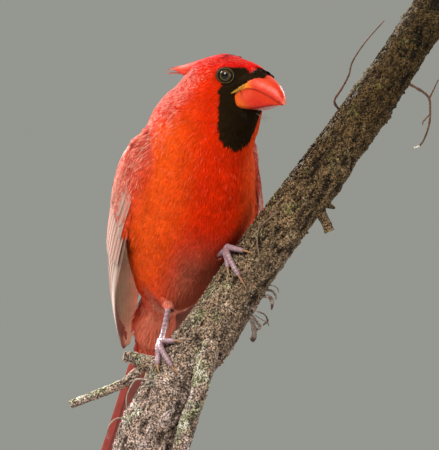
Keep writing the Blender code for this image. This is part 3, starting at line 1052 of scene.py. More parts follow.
class Form:
    """A surface read as points of two parameters: u along it, v round or across it.

    Attributes:
        turn: 1 where u's direction crossed with v's points outward, or else -1.
        u_range: The first parameter's ends.
        v_range: The second parameter's ends.
        steps: Small steps in u and v that slopes are measured over.
    """

    turn = 1.0
    u_range = (0.0, 1.0)
    v_range = (0.0, TURN)
    steps = (0.03, 0.03)

    def point(self, u: Array, v: Array) -> Array:
        """Points of the surface."""
        raise NotImplementedError

    def slopes(self, u: Array, v: Array) -> tuple[Array, Array, Array]:
        """The surface's slopes along u and v, by central differences, and its outward normal.

        Args:
            u: Places along the surface.
            v: Places across or round it.

        Returns:
            Both slopes and the outward direction at each place.
        """
        du, dv = self.steps
        along_u = (self.point(u + du, v) - self.point(u - du, v)) / (2 * du)
        along_v = (self.point(u, v + dv) - self.point(u, v - dv)) / (2 * dv)
        return along_u, along_v, unit(np.cross(along_u, along_v)) * self.turn

    def spot(self, u: Array, v: Array) -> Array:
        """Places on the unwrap: v across it, u up it, each from 0 to 1.

        Args:
            u: Places along the surface.
            v: Places across or round it.

        Returns:
            Map places.
        """
        across = (v - self.v_range[0]) / (self.v_range[1] - self.v_range[0])
        up = (u - self.u_range[0]) / (self.u_range[1] - self.u_range[0])
        return np.stack([across, up], -1) * 0.98 + 0.01

    def patch(self, u: Array, v: Array, wanted: Array, most_bend: float) -> Patch:
        """Measures the surface at feather roots.

        Args:
            u: First parameter of each root.
            v: Second parameter.
            wanted: The wanted direction of each feather, or one for all.
            most_bend: The sharpest bend that a feather follows, in 1/mm.

        Returns:
            The patches.
        """
        origin = self.point(u, v)
        slope_u, slope_v, normal = self.slopes(u, v)
        du, dv = self.steps
        turn_u = (self.slopes(u + du, v)[2] - normal) / du
        turn_v = (self.slopes(u, v + dv)[2] - normal) / dv
        ahead = across_way(wanted, normal)
        side = np.cross(normal, ahead)
        uu, uv, vv = dot(slope_u, slope_u), dot(slope_u, slope_v), dot(slope_v, slope_v)
        spread = np.maximum(uu * vv - uv**2, 1e-9)
        turned = []
        for way in (ahead, side):
            wu, wv = dot(way, slope_u), dot(way, slope_v)
            du_share, dv_share = (wu * vv - wv * uv) / spread, (wv * uu - wu * uv) / spread
            turned.append(du_share[:, None] * turn_u + dv_share[:, None] * turn_v)
        bend = np.stack([dot(turned[0], ahead), dot(turned[0], side), dot(turned[1], side)], 1)
        return Patch(origin, normal, ahead, side, np.clip(bend, -most_bend, most_bend), self.spot(u, v))

    def scatter(self, spacing: Callable[[Array], Array], seed: int,
                grid: tuple = (240, 180)) -> tuple[Array, Array]:
        """Spreads roots over the surface, a chosen distance apart.

        The surface is cut into cells, each wanting its area over the spacing squared. Root k of a
        low-discrepancy pair of numbers picks a row by the rows' summed wants, and a place in it by the
        cells' summed wants.

        Args:
            spacing: Distance between roots, from points of the surface.
            seed: Shifts the pattern.
            grid: Cells along u and v.

        Returns:
            The roots' parameters.
        """
        rows, columns = grid
        u_size, v_size = self.u_range[1] - self.u_range[0], self.v_range[1] - self.v_range[0]
        u = self.u_range[0] + u_size * (np.arange(rows) + 0.5) / rows
        v = self.v_range[0] + v_size * (np.arange(columns) + 0.5) / columns
        grid_u, grid_v = pairs_of(u, v)
        slope_u, slope_v, _ = self.slopes(grid_u, grid_v)
        area = np.linalg.norm(np.cross(slope_u, slope_v), axis=1) * (u_size / rows * v_size / columns)
        want = (area / spacing(self.point(grid_u, grid_v)) ** 2).reshape(rows, columns)
        k = np.arange(int(want.sum())) + 1 + seed * 97
        first, second = (k * 0.7548776662466927) % 1, (k * 0.5698402909980532) % 1
        heap = np.concatenate([[0], np.cumsum(want.sum(1))]) / want.sum()
        at_row = np.interp(first, heap, np.arange(rows + 1))
        row = np.minimum(at_row.astype(int), rows - 1)
        within = np.column_stack([np.zeros(rows), np.cumsum(want, axis=1)])
        within = within / within[:, -1:] + np.arange(rows)[:, None]
        marks = (np.arange(columns + 1.0) + np.arange(rows)[:, None] * (columns + 1)).ravel()
        at_column = np.interp(row + np.minimum(second, 0.999999), within.ravel(), marks) - row * (columns + 1)
        return self.u_range[0] + at_row * (u_size / rows), self.v_range[0] + at_column * (v_size / columns)


@dataclass(frozen=True)
class Eye:
    """Eyeballs and the rings of lid round them, in the head's axes.

    Attributes:
        centre: (forward, to the side, up) of an eyeball.
        forward_turn: Degrees that the eye looks ahead of straight sideways.
        oval: How much wider the eye's rings are along each of the two directions across its axis.
        pupil: The pupil's radius.
    """

    centre: tuple = (0.85, 7.45, -0.4)
    radius: float = 3.5
    forward_turn: float = 31.0
    oval: tuple = (1.08, 0.92)
    pupil: float = 1.28

    def axes(self, side: int) -> tuple[Array, Array]:
        """An eye's centre, and its axis with two directions across it as rows, in the head's axes.

        Args:
            side: 1 for left, -1 for right.

        Returns:
            The centre and the three directions.
        """
        turn = math.radians(self.forward_turn)
        axis = np.array([math.sin(turn), side * math.cos(turn), 0.0])
        up = np.array([0.0, 0.0, 1.0])
        return np.array(self.centre) * [1, side, 1], np.array([axis, np.cross(up, axis), up])

    def spots(self, places: Array, side: int) -> tuple[Array, Array]:
        """Height along an eye's axis, and distance from it in ovals, for places in the head's axes.

        Args:
            places: Places in the head's axes.
            side: 1 for left, -1 for right.

        Returns:
            The heights and the distances.
        """
        centre, rows = self.axes(side)
        away = (places - centre) @ rows.T
        return away[:, 0], np.hypot(away[:, 1] / self.oval[0], away[:, 2] / self.oval[1])

    def socket(self, places: Array) -> Array:
        """Draws the skin round each eye in to a flat ring for the lids.

        Args:
            places: Places in the head's axes.

        Returns:
            The places, moved.
        """
        places = places.copy()
        for side in (1, -1):
            height, reach = self.spots(places, side)
            share = ramp(5.4, 3.1, reach) * (height > -1.0) * (places[:, 1] * side > 0)
            axis = self.axes(side)[1][0]
            level = 1.95 - 1.3 * ramp(2.8, 1.6, reach)
            places = places + axis * ((level - height) * share)[:, None]
        return places


EYE = Eye()


@dataclass(frozen=True)
class Body(Form):
    """The bird's outer form without wings, tail and crest, lofted from the tail's root to the crown.

    A ring at a station has half width w, back radius b and front radius f. At an angle t from the back
    its point lies b or f times cos t out of the back and w times sin t to the left, each raised to
    2 over the ring's power, and the front half narrows by the taper.
    """

    u_range = (0.05, 16.97)
    trunk_stations: tuple = (
        ((67.0, -1.5), 3.0, 2.2, 2.6), ((62.0, -1.6), 4.6, 4.0, 4.8), ((54.0, -1.5), 6.8, 6.8, 7.6),
        ((42.0, -1.2), 7.2, 9.8, 9.4), ((31.0, -0.6), 13.0, 15.4, 16.8), ((17.0, 0.0), 18.8, 20.6, 25.0),
        ((1.0, 0.0), 22.4, 24.2, 27.6), ((-14.0, 0.0), 22.2, 25.0, 26.6))
    neck_stations: tuple = (
        ((-1.1, -9.6, 146.6), 49.0, 0.0, 20.6, 24.6, 23.0, 0.00, 2.0),
        ((-1.6, -14.6, 155.2), 58.0, 6.0, 19.0, 23.6, 19.4, 0.02, 2.0),
        ((0.9, -19.0, 163.4), 68.0, 13.0, 17.7, 22.4, 17.8, 0.08, 2.0),
        ((3.6, -23.0, 170.4), 77.0, 19.0, 15.0, 20.4, 16.8, 0.26, 2.1),
        ((5.0, -25.2, 176.6), 82.0, 22.4, 12.6, 18.0, 16.8, 0.42, 2.1),
        ((5.4, -26.0, 180.4), 82.0, 22.4, 11.2, 15.0, 17.4, 0.42, 2.1),
        ((5.4, -26.0, 182.4), 82.0, 22.4, 8.8, 11.2, 14.6, 0.34, 2.0),
        ((5.2, -25.8, 183.8), 82.0, 22.4, 5.8, 7.4, 9.4, 0.24, 2.0),
        ((5.0, -25.6, 184.7), 82.0, 22.4, 2.0, 2.6, 3.4, 0.00, 2.0),
        ((5.0, -25.6, 185.0), 82.0, 22.4, 0.05, 0.06, 0.08, 0.00, 2.0))
    swell_centre: tuple = (-6.0, 4.0, 99.0)
    swell_size: float = 6.5
    swell: tuple = (-0.6, -1.2, -4.4)

    def table(self) -> Array:
        """Every station as one row: centre, pitch, yaw, half width, back, front, taper, power."""
        rows = [(*TRUNK.point([0.0, *middle]), TRUNK.pitch, 0.0, *sizes, 0.0, 2.0)
                for middle, *sizes in self.trunk_stations]
        return np.array(rows + [(*point, *rest) for point, *rest in self.neck_stations])

    def point(self, u: Array, v: Array) -> Array:
        """Points at station numbers u and angles v from the back, kept out of the branch.

        Args:
            u: Places along the surface.
            v: Places across or round it.

        Returns:
            The points.
        """
        row = smooth(self.table(), u)
        pitch, yaw = np.radians(row[:, 3]), np.radians(row[:, 4])
        width, back, front, taper, roundness = row[:, 5:].T
        c, s = np.cos(v), np.sin(v)
        lateral = np.stack([np.cos(yaw), np.sin(yaw), 0 * yaw], 1)
        dorsal = np.stack([-np.sin(yaw) * np.sin(pitch), np.cos(yaw) * np.sin(pitch), np.cos(pitch)], 1)
        depth = np.where(c > 0, back, front) * power(c, 2 / roundness)
        breadth = width * power(s, 2 / roundness) * (1 - taper * np.clip(-c, 0, 1) ** 1.5)
        return BRANCH.clear(self.sculpt(row[:, :3] + dorsal * depth[:, None] + lateral * breadth[:, None]))

    def sculpt(self, points: Array) -> Array:
        """Adds the head's smaller forms: brow, hollow lores, full cheeks and the eyes' sockets.

        Args:
            points: Points of the frame, in millimetres.

        Returns:
            The points, moved.
        """
        head = points[:, 2] > 163.0
        places = HEAD.place(points[head])
        f, l, u = places.T
        side = np.sign(l) * ramp(2.0, 5.0, np.abs(l))
        brow = 0.45 * bell((f, 1.0, 4.5), (u, 4.4, 1.4))
        lores = -0.45 * bell((f, 5.6, 2.4), (u, 0.6, 1.8))
        cheek = 0.5 * bell((f, -2.0, 5.0), (u, -6.0, 3.5))
        places[:, 1] += side * (brow + lores + cheek)
        points = points.copy()
        points[head] = HEAD.point(EYE.socket(places))
        knee = np.exp(-((points - self.swell_centre) ** 2).sum(1) / (2 * self.swell_size**2))
        return points + knee[:, None] * np.asarray(self.swell)


@dataclass(frozen=True)
class Bill:
    """The bill's two halves, in the head's axes.

    Each curve is (forward, value) pairs; a ring at a place forward is wide at its widest height and
    arches to the culmen, or hangs to the gonys.
    """

    culmen: tuple = (
        (3.0, 4.8), (11.5, 2.9), (14.5, 1.9), (18.0, 0.5), (21.0, -1.0), (23.4, -3.0), (25.0, -5.3),
        (25.7, -7.2))
    cutting_edge: tuple = (
        (2.0, -7.8), (6.3, -6.6), (10.2, -4.2), (13.2, -3.75), (16.6, -4.25), (20.4, -5.5), (24.0, -6.9),
        (25.6, -7.5))
    upper_half_width: tuple = (
        (2.0, 6.9), (8.0, 6.95), (14.0, 5.5), (19.0, 3.8), (22.4, 2.5), (24.6, 1.35), (25.7, 0.5))
    gonys: tuple = (
        (2.0, -11.4), (6.5, -11.4), (9.6, -11.3), (12.6, -11.0), (17.7, -9.5), (22.0, -8.3), (24.4, -7.9))
    lower_half_width: tuple = (
        (2.0, 7.4), (7.0, 7.2), (10.0, 6.4), (14.0, 5.0), (19.0, 3.1), (22.8, 1.4), (24.4, 0.6))
    upper_power: float = 0.90
    lower_power: float = 0.25
    gap: float = 0.02

    def upper(self, forward: Array) -> tuple[Array, ...]:
        """Widest height, half width, top and bottom of the upper half at places forward.

        Args:
            forward: Places forward of the bill's root line.

        Returns:
            Four arrays in that order.
        """
        top = along(self.culmen, forward)
        edge = along(self.cutting_edge, forward) + self.gap / 2
        width = along(self.upper_half_width, forward)
        return edge + 0.02 * (top - edge), width, top, np.minimum(edge, top - 0.35)

    def lower(self, forward: Array) -> tuple[Array, ...]:
        """Widest height, half width, top and bottom of the lower half at places forward.

        Args:
            forward: Places forward of the bill's root line.

        Returns:
            Four arrays in that order.
        """
        edge = along(self.cutting_edge, forward) - self.gap / 2
        bottom = np.minimum(along(self.gonys, forward), edge - 0.5)
        return edge - 0.03 * (edge - bottom), along(self.lower_half_width, forward), edge + 0.4, bottom

    def holds(self, places: Array, margin: float) -> Array:
        """Whether places in the head's axes lie inside either half, or within a margin of it.

        Args:
            places: Places in the head's axes.
            margin: How far outside still counts, in millimetres.

        Returns:
            True where the bill is.
        """
        f, l, u = places.T
        inside = np.zeros(len(places), bool)
        for outline, bulge in ((self.upper, self.upper_power), (self.lower, self.lower_power)):
            widest, width, top, bottom = outline(np.clip(f, 2.0, 24.3))
            height = np.where(u > widest, top - widest, widest - bottom) + margin
            aside = (np.abs(l) / (width + margin)) ** (2 / bulge)
            inside |= (f > 4.0) & (aside + ((u - widest) / height) ** 2 < 1)
        return inside


BILL = Bill()


@dataclass(frozen=True)
class Saddle(Form):
    """The feathered skin over the base of the upper bill, from the face to the nostrils.

    Its second parameter is the angle over the bill, from its left side (0) over the culmen (a quarter
    turn) to its right. It runs forward to a line that reaches furthest over each nostril.
    """

    turn = -1.0
    v_range = (math.radians(-16.0), math.radians(196.0))
    steps = (0.02, 0.03)
    rear: float = 3.2
    front_line: tuple = (
        (-16.0, 6.4), (-3.0, 8.0), (9.0, 9.5), (20.0, 11.2), (37.0, 13.0), (58.0, 14.5), (75.0, 13.8),
        (90.0, 12.6))
    far_tuft: float = -1.4

    def point(self, u: Array, v: Array) -> Array:
        """Points at a share u of the way forward and angles v, just proud of the horn.

        Args:
            u: Places along the surface.
            v: Places across or round it.

        Returns:
            The points.
        """
        degrees = np.degrees(v)
        front = along(self.front_line, 90 - np.abs(degrees - 90)) + self.far_tuft * bell((degrees, 66, 14))
        forward = self.rear + (front - self.rear) * u
        widest, width, top, bottom = BILL.upper(forward)
        proud = 0.38 - 0.28 * ramp(0.55, 1.0, u) - 1.2 * ramp(0.25, 0.0, u)
        rise = np.where(np.sin(v) > 0, top - widest, widest - bottom) * np.sin(v)
        across = width * power(np.cos(v), 0.8)
        out = np.stack([0 * u, np.cos(v), np.sin(v)], 1) * proud[:, None]
        return HEAD.point(np.stack([forward, across, widest + rise], 1) + out)


@dataclass(frozen=True)
class Crest(Form):
    """The crest laid back: a tapering tongue from the crown, whose first parameter runs backward."""

    u_range = (5.0, 31.0)
    steps = (0.25, 0.05)
    top: tuple = (
        (-40.5, -4.2), (-38.5, -3.5), (-33.5, -1.4), (-26.8, 0.5), (-21.3, 2.5), (-14.0, 5.0), (-8.0, 6.9),
        (-4.0, 7.7))
    depth: tuple = ((-38.5, 0.8), (-33.5, 1.8), (-28.0, 3.4), (-21.3, 7.0), (-8.0, 8.0))
    half_width: tuple = ((-38.5, 0.9), (-28.0, 3.4), (-21.3, 5.4), (-14.0, 7.0), (-8.0, 6.4))
    lean: float = -2.0

    def point(self, u: Array, v: Array) -> Array:
        """Points a distance u behind the eyes, at angles v from the left over the top.

        Args:
            u: Places along the surface.
            v: Places across or round it.

        Returns:
            The points.
        """
        forward = -u
        top, depth, width = (along(t, forward) for t in (self.top, self.depth, self.half_width))
        across = width * power(np.cos(v), 0.8) + self.lean * np.clip((-12 - forward) / 26.5, 0, 1)
        return HEAD.point(np.stack([forward, across, top - depth / 2 + depth / 2 * np.sin(v)], 1))


@dataclass(frozen=True)
class Thigh(Form):
    """A feathered thigh: a tube that narrows from inside the flank to the top of the shank."""

    turn = -1.0
    steps = (0.02, 0.05)
    top: tuple
    end: tuple
    radii: tuple

    def point(self, u: Array, v: Array) -> Array:
        """Points a share u of the way down and at angles v round.

        Args:
            u: Places along the surface.
            v: Places across or round it.

        Returns:
            The points.
        """
        top, end = np.array(self.top), np.array(self.end)
        way = unit(end - top)
        across = unit(np.cross(way, BRANCH.rows()[2]))
        other = np.cross(way, across)
        radius = along(self.radii, np.clip(u, 0, 1))[:, None]
        spot = top + (end - top) * np.asarray(u)[:, None]
        return BRANCH.clear(spot + radius * around(v, across, other))


@dataclass(frozen=True)
class Wing(Form):
    """A folded wing's outer surface, between its lower edge and its upper one.

    Both edges are smooth curves in the trunk's axes. The surface bulges between them by four times the
    bulge times u(1 - u), u being the share of the way from the lower edge to the upper.
    """

    side: int = 1
    v_range = (0.0, 1.0)
    steps = (0.01, 0.02)
    lower: tuple = ((20.8, -24.0, 1.5), (24.0, -8.0, -5.0), (24.6, 10.0, -7.6), (22.4, 29.0, -6.6),
                    (18.2, 45.0, -4.0), (12.4, 60.0, -0.6), (7.2, 70.5, 1.8))
    upper: tuple = ((19.9, -25.8, 13.4), (18.2, -12.0, 21.4), (13.1, 6.0, 21.5), (8.0, 24.0, 20.0),
                    (4.0, 42.0, 14.2), (3.8, 58.0, 8.0), (4.6, 69.5, 2.8))
    bulge: tuple = (4.1, 4.4, 5.7, 6.2, 5.4, 3.2, 0.5)
    thickness: tuple = (2.0, 2.6, 2.8, 2.4, 1.8, 1.3, 1.0)

    @property
    def turn(self) -> float:
        """The right wing is the left one mirrored, which turns its slopes' cross product round."""
        return float(self.side)

    def thick(self, share: Array) -> Array:
        """The wing's thickness at shares of its length."""
        return smooth(self.thickness, np.asarray(share) * (len(self.thickness) - 1))

    def width(self, share: Array) -> Array:
        """The distance between the wing's edges at shares of its length."""
        row = np.asarray(share) * (len(self.lower) - 1)
        return np.linalg.norm(smooth(self.upper, row) - smooth(self.lower, row), axis=1)

    def spread(self, share: Array, reach: Array, height: Array) -> Array:
        """Points a share along the wing, a reach in millimetres up from its lower edge.

        Args:
            share: Share of the wing's length, from the wrist.
            reach: Millimetres from the lower edge.
            height: Millimetres out of the wing's middle surface.

        Returns:
            Points of the frame.
        """
        row = np.clip(share, -0.05, 1.04) * (len(self.lower) - 1)
        low, high = smooth(self.lower, row), smooth(self.upper, row)
        bulge = smooth(self.bulge, row)
        width = np.linalg.norm(high - low, axis=1)
        across = unit(high - low)
        u = np.clip(reach / width, 0, 1)
        outward = unit(np.stack([high[:, 2] - low[:, 2], 0 * width, low[:, 0] - high[:, 0]], 1))
        rise = bulge * 4 * u * (1 - u) + height
        place = low + across * np.asarray(reach)[:, None] + outward * rise[:, None]
        return TRUNK.point(place * [self.side, 1, 1])

    def point(self, u: Array, v: Array) -> Array:
        """Points of the outer surface at shares u of the length and v of the width."""
        return self.spread(u, v * self.width(u), self.thick(u) / 2)

    def covers(self, points: Array) -> Array:
        """Whether points lie under the wing, well inside its edges.

        Args:
            points: Points of the frame.

        Returns:
            True where the wing hides a point from outside.
        """
        share, width = pairs_of(np.linspace(0, 1, 40), np.linspace(0, 1, 14))
        surface = self.point(share, width)
        normal = self.slopes(share, width)[2]
        best = nearest(points, surface)
        height = dot(points - surface[best], normal[best])
        inner = (share > 0.16) & (share < 0.97) & (width > 0.18) & (width < 0.90)
        return inner[best] & (height < 0.6) & (points[:, 0] * self.side > 3.0)


@dataclass(frozen=True)
class Sleeve(Form):
    """The front of a folded wing with its rounded wrist, as a closed section that small feathers cover.

    The first parameter is the share along the wing, the second the angle round the section from its
    upper edge over the outer face. Ahead of the wrist the section shrinks as a ball's does.
    """

    wing: Wing = Wing()
    u_range = (-0.06, 0.52)
    steps = (0.006, 0.04)
    puff: float = 0.3
    wrist: float = 0.075

    @property
    def turn(self) -> float:
        """Its angle runs down the outer face, against the wing's own second parameter."""
        return -float(self.wing.side)

    def point(self, u: Array, v: Array) -> Array:
        """Points at shares u and angles v; the section is a flattened oval with rounded edges.

        Args:
            u: Places along the surface.
            v: Places across or round it.

        Returns:
            The points.
        """
        share = np.clip(u, 0.0, None)
        shrink = np.sqrt(np.clip(1 - (np.clip(0.015 - u, 0, None) / self.wrist) ** 2, 0.0004, 1))
        width = self.wing.width(share)
        aside = (width / 2 + self.puff) * power(np.cos(v), 0.55)
        height = (self.wing.thick(share) / 2 + self.puff) * power(np.sin(v), 0.7)
        return self.wing.spread(u, width / 2 + aside * shrink, height * shrink)


@dataclass(frozen=True)
class Fairing(Form):
    """Where the body's feathers run over a wing's edge onto its outer face.

    The first parameter is the share along the wing, the second runs from the body (0) to the wing (1) on
    a cubic curve that leaves both surfaces along them. Ahead of the wrist it closes onto the body.
    """

    wing: Wing = Wing()
    low: bool = True
    u_range = (-0.20, 0.30)
    v_range = (0.0, 1.0)
    steps = (0.006, 0.03)
    stations: int = 16

    @property
    def turn(self) -> float:
        """Toward the wing, the upper one runs down and the lower one up."""
        return float(self.wing.side) * (1.0 if self.low else -1.0)

    @cached_property
    def rails(self) -> Array:
        """Rows along the wing: the body's point and direction, then the wing's."""
        side = self.wing.side
        share = np.linspace(self.u_range[0] - 0.02, self.u_range[1] + 0.04, self.stations)
        begin = np.clip(share, 0, 1)
        back, edge = (-1, 0.0) if self.low else (1, 1.0)
        spot = 0.48 + back * 0.14 * ramp(0.0, 0.12, share)
        out = self.wing.thick(begin) / 2 + 0.25

        def on_wing(width: Array | float) -> Array:
            """Points of the wing's outer face at a share of its width, run straight on ahead of the wrist.

            Args:
                width: A share of the wing's width.

            Returns:
                The points.
            """
            there, after = (self.wing.spread(at, width * self.wing.width(at), out)
                            for at in (begin, begin + 0.05))
            return there + (after - there) * ((share - begin) / 0.05)[:, None]

        far, rim = on_wing(spot), on_wing(edge)
        shift = np.array([-3.5 * side, 0, -10.0] if self.low else [-9.0 * side, 0, 3.0]) @ TRUNK.rows()
        u, v = pairs_of(np.linspace(1.0, 11.5, 160), np.linspace(0, TURN, 200))
        skin, normal = BODY.point(u, v), BODY.slopes(u, v)[2]

        def settled(points: Array) -> tuple[Array, Array]:
            """Points moved onto the body's surface, and its normals there.

            Args:
                points: Points of the frame, in millimetres.

            Returns:
                The points and the normals.
            """
            best = nearest(points, skin)
            away = dot(points - skin[best], normal[best])[:, None]
            return points - normal[best] * away, normal[best]

        near, near_normal = settled(rim + shift)
        closed, _ = settled(far)
        free = ramp(-0.17, 0.0, share)[:, None]
        far = closed * (1 - free) + far * free
        chord = far - near
        reach = np.linalg.norm(chord, axis=1, keepdims=True)
        leave = across_way(chord, near_normal) * reach
        arrive = unit(on_wing(spot - back * 0.03) - on_wing(spot)) * reach * free + chord * (1 - free)
        return np.hstack([near, leave, far, arrive])

    def point(self, u: Array, v: Array) -> Array:
        """Points at shares u along the wing and v of the way onto it.

        Args:
            u: Places along the surface.
            v: Places across or round it.

        Returns:
            The points.
        """
        first, last = self.u_range[0] - 0.02, self.u_range[1] + 0.04
        row = smooth(self.rails, (np.asarray(u) - first) / (last - first) * (self.stations - 1))
        return cubic(np.asarray(v)[:, None], *np.split(row, 4, axis=1))


BODY = Body()
SADDLE = Saddle()
CREST = Crest()
THIGHS = {
    "right": Thigh((-5.5, 15.0, 106.0), (-8.6, 2.0, 92.8), ((0.0, 5.4), (0.5, 4.6), (0.8, 3.4), (1.0, 1.9))),
    "left": Thigh((6.4, 4.0, 113.0), (4.2, -14.5, 112.0), ((0.0, 4.0), (0.6, 2.6), (1.0, 1.4))),
}
WINGS = {"left": Wing(side=1, bulge=(1.4, 5.6, 12.6, 6.6, 5.4, 3.2, 0.5)), "right": Wing(side=-1)}


# --- markings


@dataclass(frozen=True)
class Plumage:
    """The bird's colours as functions of place, in linear light.

    The black mask is bounded above by a line over the lores, behind by a line from the eye down the
    cheek, and below by a bib that hangs from the chin and narrows to a rounded end.
    """

    breast: tuple = (0.62, 0.021, 0.0012)
    flank: tuple = (0.72, 0.080, 0.008)
    crown: tuple = (0.56, 0.0020, 0.0008)
    nape: tuple = (0.44, 0.013, 0.005)
    back: tuple = (0.34, 0.050, 0.034)
    # Painted shade: the lower belly in shade is given this duller, darker red.
    belly: tuple = (0.34, 0.090, 0.052)
    crissum: tuple = (0.72, 0.190, 0.118)
    pale: tuple = (0.78, 0.33, 0.24)
    black: tuple = (0.016, 0.009, 0.0035)
    mask_top: tuple = (
        (0.5, 1.2), (2.4, 2.3), (4.5, 3.0), (6.0, 3.3), (7.6, 3.1), (9.0, 2.2), (10.0, 2.0), (10.6, 3.0),
        (11.2, 6.2), (12.0, 7.6), (16.0, 9.0))
    mask_rear: tuple = (
        (-16.0, 2.2), (-13.0, 2.4), (-9.1, 2.5), (-6.2, 1.7), (-4.6, 1.8), (-2.9, 1.2), (-1.0, 0.4),
        (0.5, 0.8), (1.5, 1.8), (3.0, 3.2))
    bib_half_width: tuple = (
        (-28.0, -3.0), (-27.0, 0.8), (-26.0, 4.4), (-24.6, 6.4), (-21.0, 7.9), (-17.9, 8.5), (-13.5, 8.9),
        (-9.0, 9.6), (0.0, 11.0))

    def mask(self, points: Array) -> Array:
        """How black each point is, from 0 to 1.

        Args:
            points: Points of the frame, in millimetres.

        Returns:
            A number for each point.
        """
        f, l, u = HEAD.place(points).T
        above = along(self.mask_top, np.clip(f + 2.0 * ramp(3.5, 0.5, np.abs(l)), 0.5, 16)) - u
        ahead = f - along(self.mask_rear, np.clip(u, -16, 3))
        middle = -2.0 * ramp(-6.0, -14.0, u)
        within = along(self.bib_half_width, np.clip(u, -28, 0)) - np.abs(l - middle)
        lower = ramp(-11.0, -13.5, u)
        edge = np.minimum(np.where(lower > 0, ahead * (1 - lower) + within * lower, ahead), above)
        edge = np.where(u < -9.0, np.minimum(edge, within + 1.2 * (1 - lower)), edge)
        return ramp(-0.25, 0.25, edge) * (f > -3.0)

    def frost(self, points: Array) -> Array:
        """How many barbs have pale ends, from 0 to 1: many on the nape, the mantle and the shoulders.

        Args:
            points: Points of the frame, in millimetres.

        Returns:
            A number for each point.
        """
        _, lengthwise, above = TRUNK.place(points).T
        f, _, u = HEAD.place(points).T
        nape = ramp(-3.0, -12.0, f) * ramp(4.0, -6.0, u) * ramp(-8.0, 4.0, above)
        return np.clip(nape + 0.7 * ramp(0.0, 8.0, above) * ramp(6.0, -14.0, lengthwise), 0, 1)

    def gap(self, points: Array) -> Array:
        """How much painted shade, from 0 to 1, darkens points in the gap between the flank and the wing's
        lower edge.

        Args:
            points: Points of the frame, in millimetres.

        Returns:
            A number for each point.
        """
        _, lengthwise, above = TRUNK.place(points).T
        line = -5.6 + 0.31 * (lengthwise + 14.0)
        return 0.9 * bell((above, line, 1.0)) * ramp(-26.0, -18.0, lengthwise) * ramp(18.0, 8.0, lengthwise)

    def tint(self, points: Array, ragged: float = 0.0, seed: int = 0) -> Array:
        """The colour at each point.

        Args:
            points: Points of the frame.
            ragged: How far, in millimetres, the mask's edge strays.
            seed: Chooses how it strays.

        Returns:
            One linear colour for each point.
        """
        across, lengthwise, above = TRUNK.place(points).T
        f, _, u = HEAD.place(points).T
        behind = ramp(-4.0, -14.0, f)
        flank = ramp(5.0, 19.0, np.abs(across)) * ramp(10.0, -4.0, above)
        # Painted shade: the lower belly, in the middle and on the left side, dulls to the belly colour.
        belly = ramp(-20.0, 6.0, lengthwise) * ramp(-5.0, -15.0, above) * ramp(-16.0, -5.0, across)
        vent = bell((lengthwise, 35.0, 8.5)) * ramp(-8.0, -14.0, above) * 0.62
        hoar = ramp(-0.1, 0.6, cloud(points, 1.2, 51, 2)) * behind
        hoar = hoar * ramp(-6.0, 3.0, above) * ramp(2.0, -6.0, u)
        stray = ragged * stirred(points, 0.8, seed) if ragged else 0.0
        return layered(
            self.breast, (self.flank, flank * 0.9), (self.belly, belly * 0.85),
            (self.crissum, ramp(30.0, 48.0, lengthwise) * ramp(2.0, -8.0, above)),
            (self.pale, vent * (0.7 + 0.5 * cloud(points, 3.0, 5))),
            (self.back, ramp(8.0, 17.0, above) * ramp(-34.0, -20.0, lengthwise)),
            (self.nape, ramp(-26.0, -10.0, u) * behind), (self.pale, 0.20 * hoar),
            (self.crown, ramp(-2.0, 4.0, u)), (self.black, self.mask(points + stray)))


PLUMAGE = Plumage()


# --- the coat


def blades(path: Array, side: Array, half: Array, tint: Array, spots: Array) -> Shape:
    """Flat tapering blades, each a row of pairs of points that ends in one.

    Args:
        path: Middle lines as (blade, place along it, coordinate).
        side: Directions across them.
        half: Half widths as (blade, place along it).
        tint: Colours as (blade, place along it, channel).
        spots: Places on the bake map as (blade, place along it, 2).

    Returns:
        The blades as one shape.
    """
    count, places = path.shape[:2]
    reach = side * half[..., None]

    def paired(left: Array, right: Array, tip: Array) -> Array:
        """Interleaves both edges of every blade and adds its tip."""
        edges = np.stack([left[:, :-1], right[:, :-1]], 2).reshape(count, 2 * places - 2, -1)
        return np.concatenate([edges, tip[:, -1:]], 1).reshape(count * (2 * places - 1), -1)

    base = np.arange(count)[:, None] * (2 * places - 1)
    quads = np.concatenate([base + [2 * k, 2 * k + 1, 2 * k + 3, 2 * k + 2] for k in range(places - 2)])
    tips = base + [2 * places - 4, 2 * places - 3, 2 * places - 2]
    points = paired(path + reach, path - reach, path)
    return Shape(points, [quads, tips], paired(tint, tint, tint), {BAKE_MAP: paired(spots, spots, spots)})


